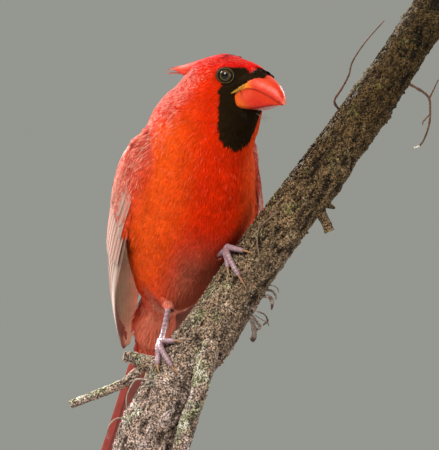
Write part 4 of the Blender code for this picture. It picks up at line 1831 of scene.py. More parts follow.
@dataclass(frozen=True)
class Coat:
    """How feathers are made from roots.

    Attributes:
        barbs: How many barbs a feather has.
        rings: How many pairs of points a barb has before its tip.
        spread: Half a feather's width over its length.
        barb_width: A barb's width over its feather's length.
        stray: How far a barb strays from its place, over the length.
        most_bend: The sharpest bend that a feather follows, in 1/mm.
    """

    barbs: int = 12
    rings: int = 3
    spread: float = 0.27
    barb_width: float = 0.074
    stray: float = 0.05
    most_bend: float = 0.2

    def grow(self, form: Form, u: Array, v: Array, length: Array, depth: Array | float, lift: Array | float,
             ways: Array, colour: Callable[[Array], Array], seed: int) -> Shape:
        """Feathers on a form.

        A barb starts near its feather's shaft, runs ahead and fans out, rises from the skin to its lift
        by the square of its length, and tapers to a point. Its blade leans away from the shaft.

        Args:
            form: The surface whose points are the coat's outside.
            u: First parameter of each root.
            v: Second parameter.
            length: Each feather's length.
            depth: How deep under the surface each root lies.
            lift: How far above the surface each tip stands.
            ways: The direction that each feather lies in, or one for all.
            colour: The colour at points.
            seed: Seeds the feathers' differences.

        Returns:
            The barbs as one shape, with the bake map.
        """
        random = np.random.default_rng(seed)
        patch = form.patch(u, v, ways, self.most_bend)
        feathers, barbs, rings = len(u), self.barbs, self.rings
        count = feathers * barbs
        feather = np.repeat(np.arange(feathers), barbs)
        slot = np.tile((np.arange(barbs) + 0.5) / barbs * 2 - 1, feathers)
        slot = slot + random.normal(0, 0.5 / barbs, count)
        size = length[feather]
        reach = size * (1 - 0.28 * slot**2) * random.uniform(0.82, 1.12, count)
        turn = random.normal(0, 0.10, feathers)[feather] + random.normal(0, self.stray, count)
        start_side = slot * size * self.spread * 0.45
        end_side = slot * size * self.spread + turn * reach
        start_ahead = np.abs(slot) * size * 0.12
        roll = slot * 0.28 + random.normal(0, 0.16, count)
        lift, depth = (np.broadcast_to(sizes, feathers)[feather] for sizes in (lift, depth))
        high = lift * random.uniform(0.5, 1.5, count) + random.normal(0, 0.032, count) * np.sqrt(size)
        wide = size * self.barb_width * random.uniform(0.75, 1.25, count)
        curl = random.normal(0, 0.03, count) * size
        shares = np.linspace(0, 1, rings + 1)[None]
        ahead = start_ahead[:, None] + (reach - start_ahead)[:, None] * shares
        aside = start_side[:, None] + (end_side - start_side)[:, None] * shares**1.15 \
            + curl[:, None] * np.sin(math.pi * shares)
        height = -depth[:, None] + (high + depth)[:, None] * (1 - (1 - shares) ** 1.8)
        whose = np.repeat(feather, rings + 1)
        path = patch.at(whose, ahead.ravel(), aside.ravel(), height.ravel()).reshape(count, rings + 1, 3)
        side = around(roll, patch.side[feather], -patch.normal[feather])
        half = wide[:, None] / 2 * np.interp(shares, (0, 0.3, 0.7, 1), (0.65, 1.0, 0.75, 0.0))
        tone = (1 + random.normal(0, 0.05, feathers))[feather] * (1 + random.normal(0, 0.07, count))
        warm = random.normal(0, 0.08, count) + random.normal(0, 0.06, feathers)[feather]
        frost = PLUMAGE.frost(patch.origin)[feather]
        frosted = random.uniform(0, 1, count) < 0.05 + 0.20 * frost
        own = colour(path[:, rings - 1]) * tone[:, None] * np.stack([1 + 0 * warm, 1 + warm, 1 + warm], 1)
        own = mix(own, PLUMAGE.pale, frosted * (0.12 + 0.55 * frost) * ramp(0.05, 0.3, own[:, 0]))
        # Barbs darken toward their roots, partly their duskier bases and partly painted shade where they
        # overlap.
        fade = np.interp(shares, (0, 0.5, 1), (0.84, 0.97, 1.05))
        spots = patch.spot[feather][:, None] + np.stack(
            [aside / size[:, None], ahead / size[:, None] - 0.5], -1) * TUFT_PATCH
        return blades(path, side[:, None], half, own[:, None] * fade[..., None], spots)


@dataclass(frozen=True)
class BodyCoat:
    """The coat of the body: how long the feathers are, how they lie, and where none grow."""

    breast_length: float = 6.0
    tail_length: float = 9.5
    head_length: float = 2.9
    face_length: float = 1.35
    density: float = 0.215  # spacing of roots over the feathers' length

    def length(self, points: Array) -> Array:
        """Each feather's length from its root.

        Args:
            points: Points of the frame, in millimetres.

        Returns:
            Lengths in millimetres.
        """
        _, lengthwise, _ = TRUNK.place(points).T
        f, l, u = HEAD.place(points).T
        size = self.breast_length + (self.tail_length - self.breast_length) * ramp(0.0, 55.0, lengthwise)
        size = size + (self.head_length - size) * ramp(-28.0, -9.0, u)
        face = ramp(13.0, 5.0, np.sqrt((f - 8.0) ** 2 + (0.6 * l) ** 2 + (0.7 * (u + 3.0)) ** 2))
        places = np.stack([f, l, u], 1)
        eyes = sum(ramp(6.5, 3.4, EYE.spots(places, side)[1]) * (l * side > 3) for side in (1, -1))
        return size + (self.face_length - size) * np.clip(np.maximum(face, eyes), 0, 1)

    def depth(self, points: Array) -> Array:
        """How deep the skin lies under the coat's surface: less than the feathers are long by far."""
        return 0.12 * self.length(points) + 0.25

    def lie(self, points: Array) -> Array:
        """The way feathers lie: back from the bill on the head, down from the chin, then tailward.

        Args:
            points: Points of the frame, in millimetres.

        Returns:
            A direction for each point.
        """
        f, l, u = HEAD.place(points).T
        forward, left, up = HEAD.rows()
        throat = ramp(-5.0, -13.0, u) * ramp(-6.0, 3.0, f)
        sink = 0.28 + 1.3 * throat + 0.9 * ramp(-6.0, -16.0, f)
        head = -forward * (1 - 0.55 * throat)[:, None] - up * sink[:, None]
        head = head + np.sign(l)[:, None] * left * (0.25 * throat)[:, None]
        trunk = np.broadcast_to(TRUNK.rows()[1], points.shape)
        return mix(trunk, unit(head), ramp(-27.0, -13.0, u)) + 0.16 * stirred(points, 7.0, 60)

    def grows(self, points: Array) -> Array:
        """Whether a feather grows at each root: not in the bill, the eyes, or well under a wing.

        Args:
            points: Points of the frame, in millimetres.

        Returns:
            True where a feather grows.
        """
        places = HEAD.place(points)
        keep = ~BILL.holds(places, 0.05)
        for side in (1, -1):
            height, reach = EYE.spots(places, side)
            keep &= ~((reach < 3.22) & (height > -1) & (places[:, 1] * side > 0))
        for wing in WINGS.values():
            keep &= ~wing.covers(points)
        return keep

    def build(self) -> None:
        """Makes the body's coat in pieces under the size limit, left and right of its middle."""
        u, v = BODY.scatter(lambda p: self.density * self.length(p), seed=3)
        roots = BODY.point(u, v)
        keep = self.grows(roots)
        u, v, roots = u[keep], v[keep], roots[keep]
        regions = (("crissum", 0.0, 4.0), ("belly", 4.0, 6.1), ("breast", 6.1, 8.0), ("neck", 8.0, 10.3),
                   ("cheeks", 10.3, 12.0), ("crown", 12.0, 17.0))
        for number, (name, low, high) in enumerate(regions):
            for word, half in (("left", v < math.pi), ("right", v >= math.pi)):
                mine = (u >= low) & (u < high) & half
                seed = 100 + number * 2 + (word == "left")
                size = self.length(roots[mine])
                coat = Coat(barbs=9, rings=2, barb_width=0.085) if low >= 10.3 else Coat()
                shape = coat.grow(BODY, u[mine], v[mine], size, self.depth(roots[mine]), 0.015 * size + 0.05,
                                  self.lie(roots[mine]), lambda p: PLUMAGE.tint(p, 0.5, 9), seed)
                show(f"coat_{name}_{word}", shape, FEATHERS, Slot.PLUMAGE)


@dataclass(frozen=True)
class Skin:
    """One closed skin under the coat, for head, neck, trunk and thighs, with the coat's markings."""

    rows: int = 300
    columns: int = 200

    def build(self, coat: BodyCoat) -> None:
        """Lofts the body inward by the coat's depth, and adds the thighs and the crest.

        Args:
            coat: The coat that grows on it.
        """
        u, v = pairs_of(np.linspace(0.0, 16.99, self.rows), circle(self.columns))
        outer = BODY.point(u, v)
        normal = BODY.slopes(np.clip(u, 0.05, 16.94), v)[2]
        sunk = outer - normal * coat.depth(outer)[:, None]
        parts = [self.wrapped(sunk.reshape(self.rows, self.columns, 3), outer, BODY.spot(u, v))]
        for form, rows, end in ((THIGHS["left"], 24, 0.84), (THIGHS["right"], 24, 0.84), (CREST, 60, 0.25)):
            u, v = pairs_of(np.linspace(*form.u_range, rows), circle(40))
            outer = form.point(u, v)
            rings = outer.reshape(rows, 40, 3)
            middle = rings.mean(1)[:, None]
            slim = np.interp(np.linspace(0, 1, rows), (0, 0.6, 1), (0.84, 0.80, end))
            parts.append(self.wrapped(middle + (rings - middle) * slim[:, None, None], outer,
                                      form.spot(u, v)))
        nodes = ("head", "neck", "trunk", "tail_coverts", "thigh_left", "thigh_right", "crest")
        show("skin", joined(parts), SKIN, Slot.PLUMAGE, nodes)

    def wrapped(self, rings: Array, outer: Array, spots: Array) -> Shape:
        """A closed loft of rings, coloured as the coat is over them, with a place on the bake map."""
        colours = PLUMAGE.tint(outer).reshape(rings.shape)
        return loft(rings, colours, spots.reshape(*rings.shape[:2], 2), BAKE_MAP)


# --- wings and tail


def both_faces(front: Array, back: Array) -> Array:
    """Rings round a thin plate from rows of its front face and, turned round, of its back one."""
    return np.concatenate([front, back[:, ::-1]], axis=1)


@dataclass(frozen=True)
class Quill:
    """One long feather's outline and colours.

    Attributes:
        outer: Width of the vane that shows, in millimetres.
        inner: Width of the vane that is tucked under the next feather.
        edge: Colour of the outer vane's rim.
        web: Colour of the outer vane.
        dusk: Colour of the inner vane.
        shaft: Colour of the shaft.
        tip: Share of the length at which the feather starts to round off.
        thick: The vane's thickness, in millimetres.
        stem: The shaft's radius at the quill, in millimetres.
    """

    outer: float
    inner: float
    edge: tuple
    web: tuple
    dusk: tuple
    shaft: tuple = (0.22, 0.115, 0.085)
    tip: float = 0.82
    thick: float = 0.16
    stem: float = 0.30

    def build(self, place: Callable[[Array, Array, Array], Array], length: float, seed: int,
              rows: int) -> Shape:
        """A thin closed plate with a shaft, laid by a function of (share, aside, height).

        The outline widens from the quill by the root of the sine of its share and closes as an ellipse
        past the tip's start. Small notches part the barbs along the rim.

        Args:
            place: Puts a share of the length, a distance aside and a height in the frame.
            length: The feather's length in millimetres.
            seed: Seeds the notches.
            rows: Points along.

        Returns:
            The feather.
        """
        random = np.random.default_rng(seed)
        columns, shaft_sides = 13, 6
        share = 1 - (1 - np.linspace(0, 1, rows)) ** 1.25
        grow = np.sqrt(np.sin(np.clip(share / 0.35, 0, 1) * math.pi / 2)) * 0.9 + 0.1
        close = np.sqrt(np.clip(1 - (np.clip(share - self.tip, 0, 1) / (1 - self.tip)) ** 2.2, 0.0008, 1))
        notch = 1 - 0.16 * np.clip(random.normal(0, 1, (2, rows)) - 1.2, 0, 1) * (share > 0.2)
        x = np.linspace(-1, 1, columns)
        limits = np.where(x < 0, (self.outer * grow * close * notch[0])[:, None],
                          (self.inner * grow * close * notch[1])[:, None])
        aside = x * limits
        camber = -0.05 * aside**2 / max(self.outer, self.inner)
        along_it = np.broadcast_to(share[:, None], aside.shape)
        sheets = []
        for level in (1, -1):
            height = camber + level * self.thick / 2 * np.sqrt(np.clip(1 - x**6, 0.02, 1))
            sheets.append(place(along_it.ravel(), aside.ravel(), height.ravel()).reshape(rows, columns, 3))
        shaft_line = bell((x * (self.outer + self.inner) / 2, 0.0, 0.28))
        colour = layered(self.web, (self.dusk, ramp(-0.05, 0.35, x)), (self.edge, ramp(-0.70, -0.92, x)),
                         (self.shaft, shaft_line * 0.8))
        # Each vane darkens toward its worn tip.
        tip_tone = 1 - 0.25 * ramp(0.85, 1.0, share)
        spot = np.stack([aside / 10, along_it * length / 10], -1)
        plate = loft(both_faces(*sheets), both_faces(colour[None], colour[None]) * tip_tone[:, None, None],
                     both_faces(spot, spot))
        line = place(share * 0.97, 0 * share, 0 * share)
        radii = self.stem * (1 - share) ** 0.6 + 0.06
        rings = tube(line, radii, unit(sheets[0][0, -1] - sheets[0][0, 0]), shaft_sides)
        spots = np.zeros((rows, shaft_sides, 2)) + np.stack([0 * share, share * length / 10], -1)[:, None]
        return joined([plate, loft(rings, np.array(self.shaft) * 1.25, spots)])


ROSE, TAUPE, DUSK = (0.47, 0.170, 0.135), (0.38, 0.215, 0.170), (0.34, 0.190, 0.150)


@dataclass(frozen=True)
class WingFeathers:
    """The feathers of one folded wing, laid like shingles: each overlaps the one outside it."""

    word: str
    primaries: tuple = (0.905, 0.95, 0.985, 1.0, 0.995, 0.975, 0.945, 0.91, 0.88)  # tips, outermost first
    secondaries: tuple = (0.80, 0.80, 0.80, 0.795, 0.79, 0.78, 0.765, 0.70, 0.62)
    tilt: float = 0.05
    covert_rows: int = 26

    @property
    def wing(self) -> Wing:
        """The wing's form."""
        return WINGS[self.word]

    def lay(self, root: tuple, tip: tuple, level: float, tilt: float) -> tuple[Callable, float]:
        """A function that lays a feather from root to tip, each (share of length, share of width).

        Args:
            root: Where the feather starts.
            tip: Where it ends.
            level: Height out of the wing's middle, over half its thickness.
            tilt: How much the outer vane rises over the inner one, per millimetre aside.

        Returns:
            The function, and the feather's length.
        """
        wing = self.wing

        def place(share: Array, aside: Array, height: Array) -> Array:
            """Keeps the feather between the wing's edges and on its level.

            Args:
                share: Shares of the feather's length.
                aside: Distances from its shaft.
                height: Distances off its surface.

            Returns:
                The points.
            """
            at = root[0] + (tip[0] - root[0]) * share
            width = wing.width(np.clip(at, 0, 1))
            centre = (root[1] + (tip[1] - root[1]) * share) * width
            reach = np.clip(centre + aside, 0.15 * np.tanh(aside), width + 0.3 * np.tanh(aside))
            sink = level * wing.thick(np.clip(at, 0, 1)) / 2 - tilt * aside
            return wing.spread(at, reach, sink + height)

        ends = place(np.array([0.0, 1.0]), np.zeros(2), np.zeros(2))
        return place, float(np.linalg.norm(ends[1] - ends[0]))

    def row(self, tips: Sequence[float], roots: Sequence[float], widths: tuple, tip_widths: tuple,
            levels: tuple, quill: Quill, seed: int, rows: int = 44) -> Shape:
        """A row of feathers across the wing, from its lower edge up.

        Args:
            tips: Shares of the wing's length where they end.
            roots: Shares where they start.
            widths: First and last share of the width at the roots.
            tip_widths: First and last share of the width at the tips.
            levels: First and last level.
            quill: Their outline and colours.
            seed: Seeds their differences.
            rows: Points along each feather.

        Returns:
            The row as one shape.
        """
        made = []
        random = np.random.default_rng(seed)
        for k, (tip, root) in enumerate(zip(tips, roots)):
            at = k / (len(tips) - 1)
            width, tip_width, level = (low + (high - low) * at for low, high in (widths, tip_widths, levels))
            place, length = self.lay((root, width), (tip + random.normal(0, 0.003), tip_width), level,
                                     self.tilt)
            made.append(quill.build(place, length, seed + k, rows))
        return joined(made)

    def build(self) -> None:
        """Makes the wing's primaries, secondaries and coverts."""
        seed = 300 if self.word == "left" else 400
        primary = Quill(2.0, 3.4, (0.46, 0.165, 0.130), TAUPE, DUSK)
        secondary = Quill(2.7, 3.6, ROSE, (0.40, 0.205, 0.155), DUSK, tip=0.86)
        greater = Quill(2.4, 2.6, (0.64, 0.17, 0.125), (0.44, 0.14, 0.10), DUSK, tip=0.80, stem=0.12)
        guard = Quill(1.6, 2.0, (0.45, 0.190, 0.145), (0.38, 0.195, 0.15), DUSK, tip=0.80, stem=0.12)
        median = Quill(2.3, 2.3, (0.60, 0.15, 0.10), (0.50, 0.085, 0.058), (0.30, 0.06, 0.04), tip=0.70,
                       stem=0.08)
        self.vanes("primary_vanes", "primaries", [
            self.row(self.primaries, [0.30] * 9, (0.03, 0.44), (0.16, 0.62), (-0.85, 0.25), primary, seed),
            self.lining()])
        self.vanes("secondary_vanes", "secondaries", [
            self.row(self.secondaries, [0.26] * 6 + [0.24, 0.22, 0.20], (0.46, 0.94), (0.50, 0.92),
                     (0.15, 0.80), secondary, seed + 20)])
        rows = self.covert_rows
        self.vanes("covert_vanes", "coverts", [
            self.row((0.47, 0.465, 0.46, 0.455, 0.45, 0.44, 0.43, 0.42, 0.40), [0.16] * 9, (0.44, 0.97),
                     (0.44, 0.95), (0.75, 1.15), greater, seed + 40, rows),
            self.row((0.42, 0.43, 0.44, 0.445, 0.45, 0.45, 0.45, 0.45), [0.16] * 8, (0.02, 0.42),
                     (0.03, 0.43), (0.15, 0.75), guard, seed + 60, rows),
            self.row((0.30, 0.27, 0.24), [0.10] * 3, (0.03, 0.16), (0.02, 0.15), (0.95, 1.2),
                     guard, seed + 75, rows),
            self.row([0.27] * 11, [0.06] * 11, (0.10, 0.97), (0.10, 0.96), (1.05, 1.35),
                     median, seed + 80, rows)])
        self.shoulder(seed + 100)

    def vanes(self, name: str, node: str, shapes: Sequence[Shape]) -> None:
        """Shows one layer of the wing in place of its solid."""
        show(f"wing_{self.word}_{name}", joined(shapes), VANES, Slot.FLIGHT, [f"wing_{self.word}_{node}"])

    def lining(self) -> Shape:
        """The wing's inner face: a thin plate under the feathers, as wide as the wing."""
        rows, columns = 40, 46
        widths = np.linspace(0.015, 0.985, columns)
        share, width = pairs_of(np.linspace(0.01, 0.985, rows), widths)
        wing = self.wing
        thick = wing.thick(share)
        faces = [
            wing.spread(share, width * wing.width(share), level * thick / 2).reshape(rows, columns, 3)
            for level in (-0.55, -1.0)]
        spot = np.stack([width * 2, share * 9], -1).reshape(rows, columns, 2)
        # Painted light: the inner face turns pale greenish from mid-width up, where the body shades it.
        inward = np.concatenate([0 * widths, ramp(0.32, 0.58, widths)[::-1]])
        vane = widths * 9 % 1
        worked = np.concatenate([vane, vane[::-1]])
        # Painted shade: darker lines between the lining's feathers.
        shade = 1.06 - 0.16 * worked - 0.20 * bell((worked, 0.30, 0.05))
        colour = mix((0.34, 0.22, 0.17), (0.72, 0.84, 0.64), inward) * shade[:, None]
        return loft(both_faces(*faces), colour, both_faces(spot, spot))

    def shoulder(self, seed: int) -> None:
        """Small feathers over the wrist, the front of the wing, and along its upper edge as scapulars.

        Args:
            seed: Seed of its random draws.
        """
        sleeve = Sleeve(self.wing)
        u, v = sleeve.scatter(lambda p: 1.25, seed, (120, 90))
        upper, outer = np.cos(v), np.sin(v) > 0
        limit = np.where(outer, 0.21 + 0.27 * ramp(0.62, 0.98, upper) + 0.02 * ramp(-0.70, -0.98, upper),
                         0.06 + 0.34 * ramp(0.80, 1.0, upper) + 0.12 * ramp(-0.80, -1.0, upper))
        mine = u < limit + np.random.default_rng(seed).normal(0, 0.012, len(u))
        u, v = u[mine], v[mine]
        way = unit(sleeve.point(u + 0.03, v) - sleeve.point(u, v))
        size = 4.2 + 8.5 * np.clip(u, 0, 0.5)
        shape = Coat().grow(sleeve, u, v, size, 0.7, 0.15, way, self.front_tint, seed)
        whole = joined([shape, self.over(True, seed + 1), self.over(False, seed + 2)])
        show(f"wing_{self.word}_shoulder_coat", whole, FEATHERS, Slot.PLUMAGE)

    def front_tint(self, points: Array) -> Array:
        """Red below and in front like the flank, dusky behind, pale flecks on the shoulder; painted shade low
        on the left wing.

        Args:
            points: Points of the frame, in millimetres.

        Returns:
            A colour for each point.
        """
        _, lengthwise, above = TRUNK.place(points).T
        fleck = ramp(-0.1, 0.7, cloud(points, 1.3, 71, 2)) * ramp(-4.0, 6.0, above)
        dusk = ramp(-20.0, -1.0, lengthwise) * ramp(-3.0, 4.0, above) * 0.95
        # Painted shade: the left wing alone is darker red low down.
        deep = 0.75 * ramp(14.0, 4.0, above) * (self.word == "left")
        mantle = ramp(9.0, 18.0, above) * ramp(-22.0, -8.0, lengthwise) * 0.8
        return layered(
            (0.46, 0.060, 0.040), ((0.62, 0.055, 0.012), ramp(4.0, -8.0, above)),
            ((0.66, 0.24, 0.19), 0.35 * fleck), ((0.40, 0.185, 0.145), dusk), ((0.36, 0.026, 0.012), deep),
            ((0.42, 0.090, 0.065), mantle))

    def over(self, low: bool, seed: int) -> Shape:
        """Feathers of the flank (low) or the mantle that run over the wing's edge.

        Args:
            low: Whether it is the flank, not the mantle.
            seed: Seed of its random draws.

        Returns:
            The shape.
        """
        form = Fairing(self.wing, low)
        u, v = form.scatter(lambda p: 1.35, seed, (90, 60))
        mine = u < 0.25 + np.random.default_rng(seed).normal(0, 0.02, len(u)) - 0.10 * ramp(0.5, 1.0, v)
        u, v = u[mine], v[mine]
        root = form.point(u, v)
        down, aside = unit(form.point(u + 0.02, v) - root), unit(form.point(u, v + 0.02) - root)
        way = down + aside * (0.30 * (1 - v))[:, None]

        def tint(points: Array) -> Array:
            """The body's colour, turning to the wing's toward its outer face, with painted shade under the
            left wing.

            Args:
                points: Points of the frame, in millimetres.

            Returns:
                A colour for each point.
            """
            share = ramp(-11.0, -3.0, TRUNK.place(points)[:, 2]) if low else np.ones(len(points))
            # Painted shade: a dark line along the gap under the left wing's lower edge.
            gap = PLUMAGE.gap(points) * (low and self.word == "left")
            return layered(PLUMAGE.tint(points), (self.front_tint(points), share),
                           ((0.035, 0.007, 0.004), gap))

        return Coat().grow(form, u, v, 6.0 + 5.0 * np.clip(u, 0, 1), 0.8, 0.12, way, tint, seed)


@dataclass(frozen=True)
class TailFeathers:
    """The closed tail: six feathers to a side, the middle pair uppermost."""

    root: tuple = (0.0, 46.5, 86.0)
    length: float = 83.0
    pitch: float = 59.0
    half_widths: tuple = ((0.0, 4.2), (0.2, 6.4), (0.5, 9.0), (0.8, 11.6), (0.94, 12.0), (1.0, 12.2))
    thickness: tuple = ((0.0, 3.6), (0.3, 3.0), (1.0, 1.3))
    arch: float = 1.6
    shift: float = 0.6
    pairs: int = 6

    def lay(self, number: int, side: int) -> Callable:
        """A function that lays one feather; number 0 is in the middle, and side is 1 for the left.

        Args:
            number: The feather's number from the middle.
            side: 1 for left, -1 for right.

        Returns:
            The function.
        """
        _, down, above = TrunkAxes(pitch=self.pitch).rows()
        reach = 1.0 - 0.010 * number

        def place(share: Array, aside: Array, height: Array) -> Array:
            """Fans the feathers out along the tail and stacks them.

            Args:
                share: Shares of the feather's length.
                aside: Distances from its shaft.
                height: Distances off its surface.

            Returns:
                The points.
            """
            at = share * reach
            half = along(self.half_widths, at)
            room = np.maximum(half - 3.6, 0.4)
            centre = side * (0.16 + number / (self.pairs - 1) * 0.84) * room
            across = np.clip(centre - side * aside, -half, half)
            level = along(self.thickness, at) * (0.42 - 0.84 * number / (self.pairs - 1))
            rise = self.arch * (1 - (across / half) ** 2) + level + height
            middle = np.array(self.root) + down * (self.length * at)[:, None]
            middle[:, 0] += self.shift * at + across
            return middle + above * rise[:, None]

        return place

    def build(self) -> None:
        """Makes the twelve feathers, outer ones first."""
        quill = Quill(3.7, 3.9, (0.56, 0.10, 0.08), (0.50, 0.060, 0.045), (0.24, 0.050, 0.040),
                      shaft=(0.12, 0.03, 0.025), tip=0.90, thick=0.18)
        made = [quill.build(self.lay(number, side), self.length, 500 + number * 2 + side, 52)
                for number in reversed(range(self.pairs)) for side in (1, -1)]
        show("tail_vanes", joined(made), VANES, Slot.FLIGHT, ["tail"])


# --- head


def oval(angle: Array, flatness: float) -> Array:
    """How far an oval reaches at angles from its long axis, over its half length."""
    return 1 / np.hypot(np.cos(angle), np.sin(angle) / flatness)[None]


@dataclass(frozen=True)
class HeadFurniture:
    """Bill, eyes, lids, gape and the special feathers of the head."""

    rings: int = 120
    sides: int = 72

    def bill_half(self, ends: tuple, outline: Callable, upper: bool) -> Shape:
        """One half of the bill.

        A ring's point at angle t lies the half width times cos t to the half's power aside, and rises or
        sinks from the widest height by sin t.

        Args:
            ends: Where it begins and ends, forward.
            outline: Gives its four measures.
            upper: Whether it is the upper half.

        Returns:
            The closed shape.
        """
        forward = ends[0] + (ends[1] - ends[0]) * np.linspace(0, 1, self.rings) ** 0.85
        turn = circle(self.sides)
        widest, width, top, bottom = (a[:, None] for a in outline(forward))
        rise = np.where(np.sin(turn) > 0, top - widest, widest - bottom) * np.sin(turn)
        across = width * power(np.cos(turn), BILL.upper_power if upper else BILL.lower_power)
        lengthwise = np.broadcast_to(forward[:, None], rise.shape)
        rings = np.stack([lengthwise, across, widest + rise], -1)
        swell = 0.05 * cloud(rings.reshape(-1, 3), (2.5, 1.4, 0.7), 21 if upper else 22, 3)
        rings = rings + unit(np.stack([0 * rise, across, rise], -1)) * swell.reshape(rise.shape)[..., None]
        rings[-1] = rings[-1].mean(0) + (rings[-1] - rings[-1].mean(0)) * 0.5
        return loft(HEAD.point(rings), self.bill_tint(rings, upper))

    def bill_tint(self, rings: Array, upper: bool) -> Array:
        """Coral, orange at the base; painted light: a pink sheen mid-side, shade at the edges and beneath, a
        highlight at the tip.

        Args:
            rings: Its rings of points.
            upper: Whether it is the upper half.

        Returns:
            A colour for each point.
        """
        f, u = rings[..., 0], rings[..., 2]
        edge = along(BILL.cutting_edge, np.clip(f, 2, 24))
        over = u - edge
        coral, orange = (0.50, 0.024, 0.003), (0.66, 0.100, 0.002)
        # Painted highlight: a pink sheen in the middle of each side of the bill.
        painted_sheen, deep = (0.54, 0.056, 0.022), (0.46, 0.009, 0.002)
        # Painted shade: the colour darkens along the cutting edges, in the crease between the halves.
        crease_shade, tip_tone = (0.42, 0.022, 0.006), (0.80, 0.34, 0.22)
        if upper:
            layers = (
                (orange, ramp(12.4, 7.4, f + 0.7 * over) * 0.95),
                (painted_sheen, bell((f, 15.5, 4.5), (over, 3.4, 2.2)) * 0.75),
                (deep, ramp(2.0, 0.4, over) * ramp(11.0, 16.0, f) * 0.6),
                ((0.68, 0.21, 0.010), ramp(14.2, 10.6, f + 0.5 * over) * 0.85))
        else:
            below = -over / (edge - along(BILL.gonys, np.clip(f, 2, 24.4)))
            layers = (
                (orange, ramp(12.4, 7.4, f + 0.6 * (u + 9)) * 0.95),
                (painted_sheen, bell((f, 10.6, 3.0), (over, -2.2, 1.8)) * 0.8),
                # Painted shade: the lower half darkens low on its sides and on its underside, toward the
                # front.
                (deep, ramp(-1.5, -4.0, over) * ramp(11.0, 15.0, f) * 0.7),
                ((0.30, 0.010, 0.002), ramp(0.80, 1.0, below) * ramp(8.0, 13.0, f) * 0.8))
        # Painted highlight: the bill's tip is paled toward a light pink.
        return layered(coral, *layers, (crease_shade, ramp(0.4, 0.05, np.abs(over)) * 0.6),
                       (tip_tone, ramp(24.4, 25.7, f) * 0.5))

    def gape(self) -> list[Shape]:
        """The soft yellow corner of the mouth on each side, a flat cord that tapers from the bill back."""
        made = []
        spots = np.array([(11.6, 4.6, -2.4), (10.0, 6.1, -3.0), (8.4, 6.95, -4.0), (7.0, 7.4, -5.2),
                          (5.8, 8.1, -6.2), (4.7, 8.7, -6.8)])
        share = np.linspace(0, 1, 40)
        radii = 0.98 * (1 - share) ** 0.7 * ramp(-0.3, 0.35, share) + 0.08
        tint = mix((0.50, 0.18, 0.008), (0.17, 0.12, 0.014), share)[:, None]
        for side in (1, -1):
            path = HEAD.point(smooth(spots * [1, side, 1], share * (len(spots) - 1)))
            made.append(loft(tube(path, radii, HEAD.rows()[2], 14, oval(circle(14), 0.36)), tint))
        return made

    def eyeball(self, side: int) -> Shape:
        """A ball with pupil, iris and a low cornea that stands proud by a cosine.

        Args:
            side: 1 for left, -1 for right.

        Returns:
            The closed shape.
        """
        centre, rows = EYE.axes(side)
        polar = np.linspace(0.001, math.pi - 0.001, 90)
        reach = EYE.radius * np.sin(polar)
        out = (EYE.radius + 0.22 * ramp(0.85, 0.0, polar)) * np.cos(polar)
        ring = around(circle(96), rows[1], rows[2])
        rings = centre + out[:, None, None] * rows[0] + reach[:, None, None] * ring
        iris, gold = (0.034, 0.021, 0.006), (0.075, 0.046, 0.010)
        rim, black = (0.006, 0.004, 0.002), (0.002, 0.002, 0.002)
        colour = layered(iris, (gold, bell((reach, 1.70, 0.14)) * 0.7), (rim, ramp(2.0, 2.3, reach)),
                         (black, ramp(EYE.pupil + 0.08, EYE.pupil - 0.08, reach)))
        colour = np.where((polar > math.pi / 2)[:, None], 0.01, colour)
        return loft(HEAD.point(rings), colour[:, None])

    def lid(self, side: int) -> Shape:
        """The bare ring round an eye: outer fold, groove and the lid's dark rim, finely beaded.

        The profile is (distance from the eye's axis, height along it), turned round the axis.

        Args:
            side: 1 for left, -1 for right.

        Returns:
            The closed shape.
        """
        centre, rows = EYE.axes(side)
        profile = ((3.8, 0.9), (3.42, 1.95), (3.18, 2.36), (3.04, 2.54), (2.92, 2.64), (2.82, 2.60),
                   (2.72, 2.60), (2.58, 2.76), (2.42, 2.86), (2.30, 2.80), (2.24, 2.60), (2.24, 1.8))
        shades = (*[(0.008, 0.006, 0.004)] * 3, (0.020, 0.013, 0.005), (0.190, 0.130, 0.030),
                  (0.014, 0.010, 0.004), (0.006, 0.005, 0.003), *[(0.005, 0.004, 0.003)] * 3,
                  *[(0.004, 0.003, 0.002)] * 2)
        at = np.linspace(0, len(profile) - 1, 56)
        line, shade = smooth(profile, at), np.clip(smooth(shades, at), 0, 1)
        turn = circle(160)
        beads = 0.018 * np.cos(turn * 44) * bell((line[:, :1], 2.95, 0.3))
        ring = around(turn, EYE.oval[0] * rows[1], EYE.oval[1] * rows[2])
        rings = centre + (line[:, 1:2] + beads)[..., None] * rows[0] + line[:, :1, None] * ring
        rings = np.concatenate([rings, rings[-1:] * 0 + centre])
        return loft(HEAD.point(rings), np.concatenate([shade, shade[-1:]])[:, None])

    def bristles(self, count: int, seed: int) -> Shape:
        """Fine stiff hairs round the bill's base, dark, but pale under the chin's left side as a painted
        backlit highlight.

        Args:
            count: How many hairs.
            seed: Seed of its random draws.

        Returns:
            The shape.
        """
        random = np.random.default_rng(seed)
        draw = random.uniform
        dark, pale = (0.014, 0.010, 0.008), (0.34, 0.29, 0.22)
        share = np.linspace(0, 1, 9)[:, None]
        made = []
        for k in range(count):
            side = 1 if k % 2 else -1
            if k % 3 == 0:
                across = (3.0, 6.2) if side > 0 else (-5.8, -2.2)
                root = np.array([draw(7.6, 9.6), draw(*across), draw(-13.8, -12.2)])
                way = np.array([draw(0.6, 1.1), side * draw(0.1, 0.6), draw(-0.8, -0.3)])
                # Painted highlight: the chin's left hairs are pale as if backlit.
                shade = pale if side > 0 else dark
            else:
                root = np.array([draw(5.6, 8.5), side * draw(5.4, 6.8), draw(-5.0, 0.5)])
                way = np.array([draw(0.5, 1.0), side * draw(0.1, 0.5), draw(-0.5, 0.1)])
                shade = dark
            path = HEAD.point(root + unit(way) * draw(2.2, 4.4) * share + np.array([0, 0, -0.7]) * share**2)
            made.append(loft(tube(path, 0.055 * (1 - share[:, 0]) + 0.012, HEAD.rows()[2], 5), shade))
        return joined(made)

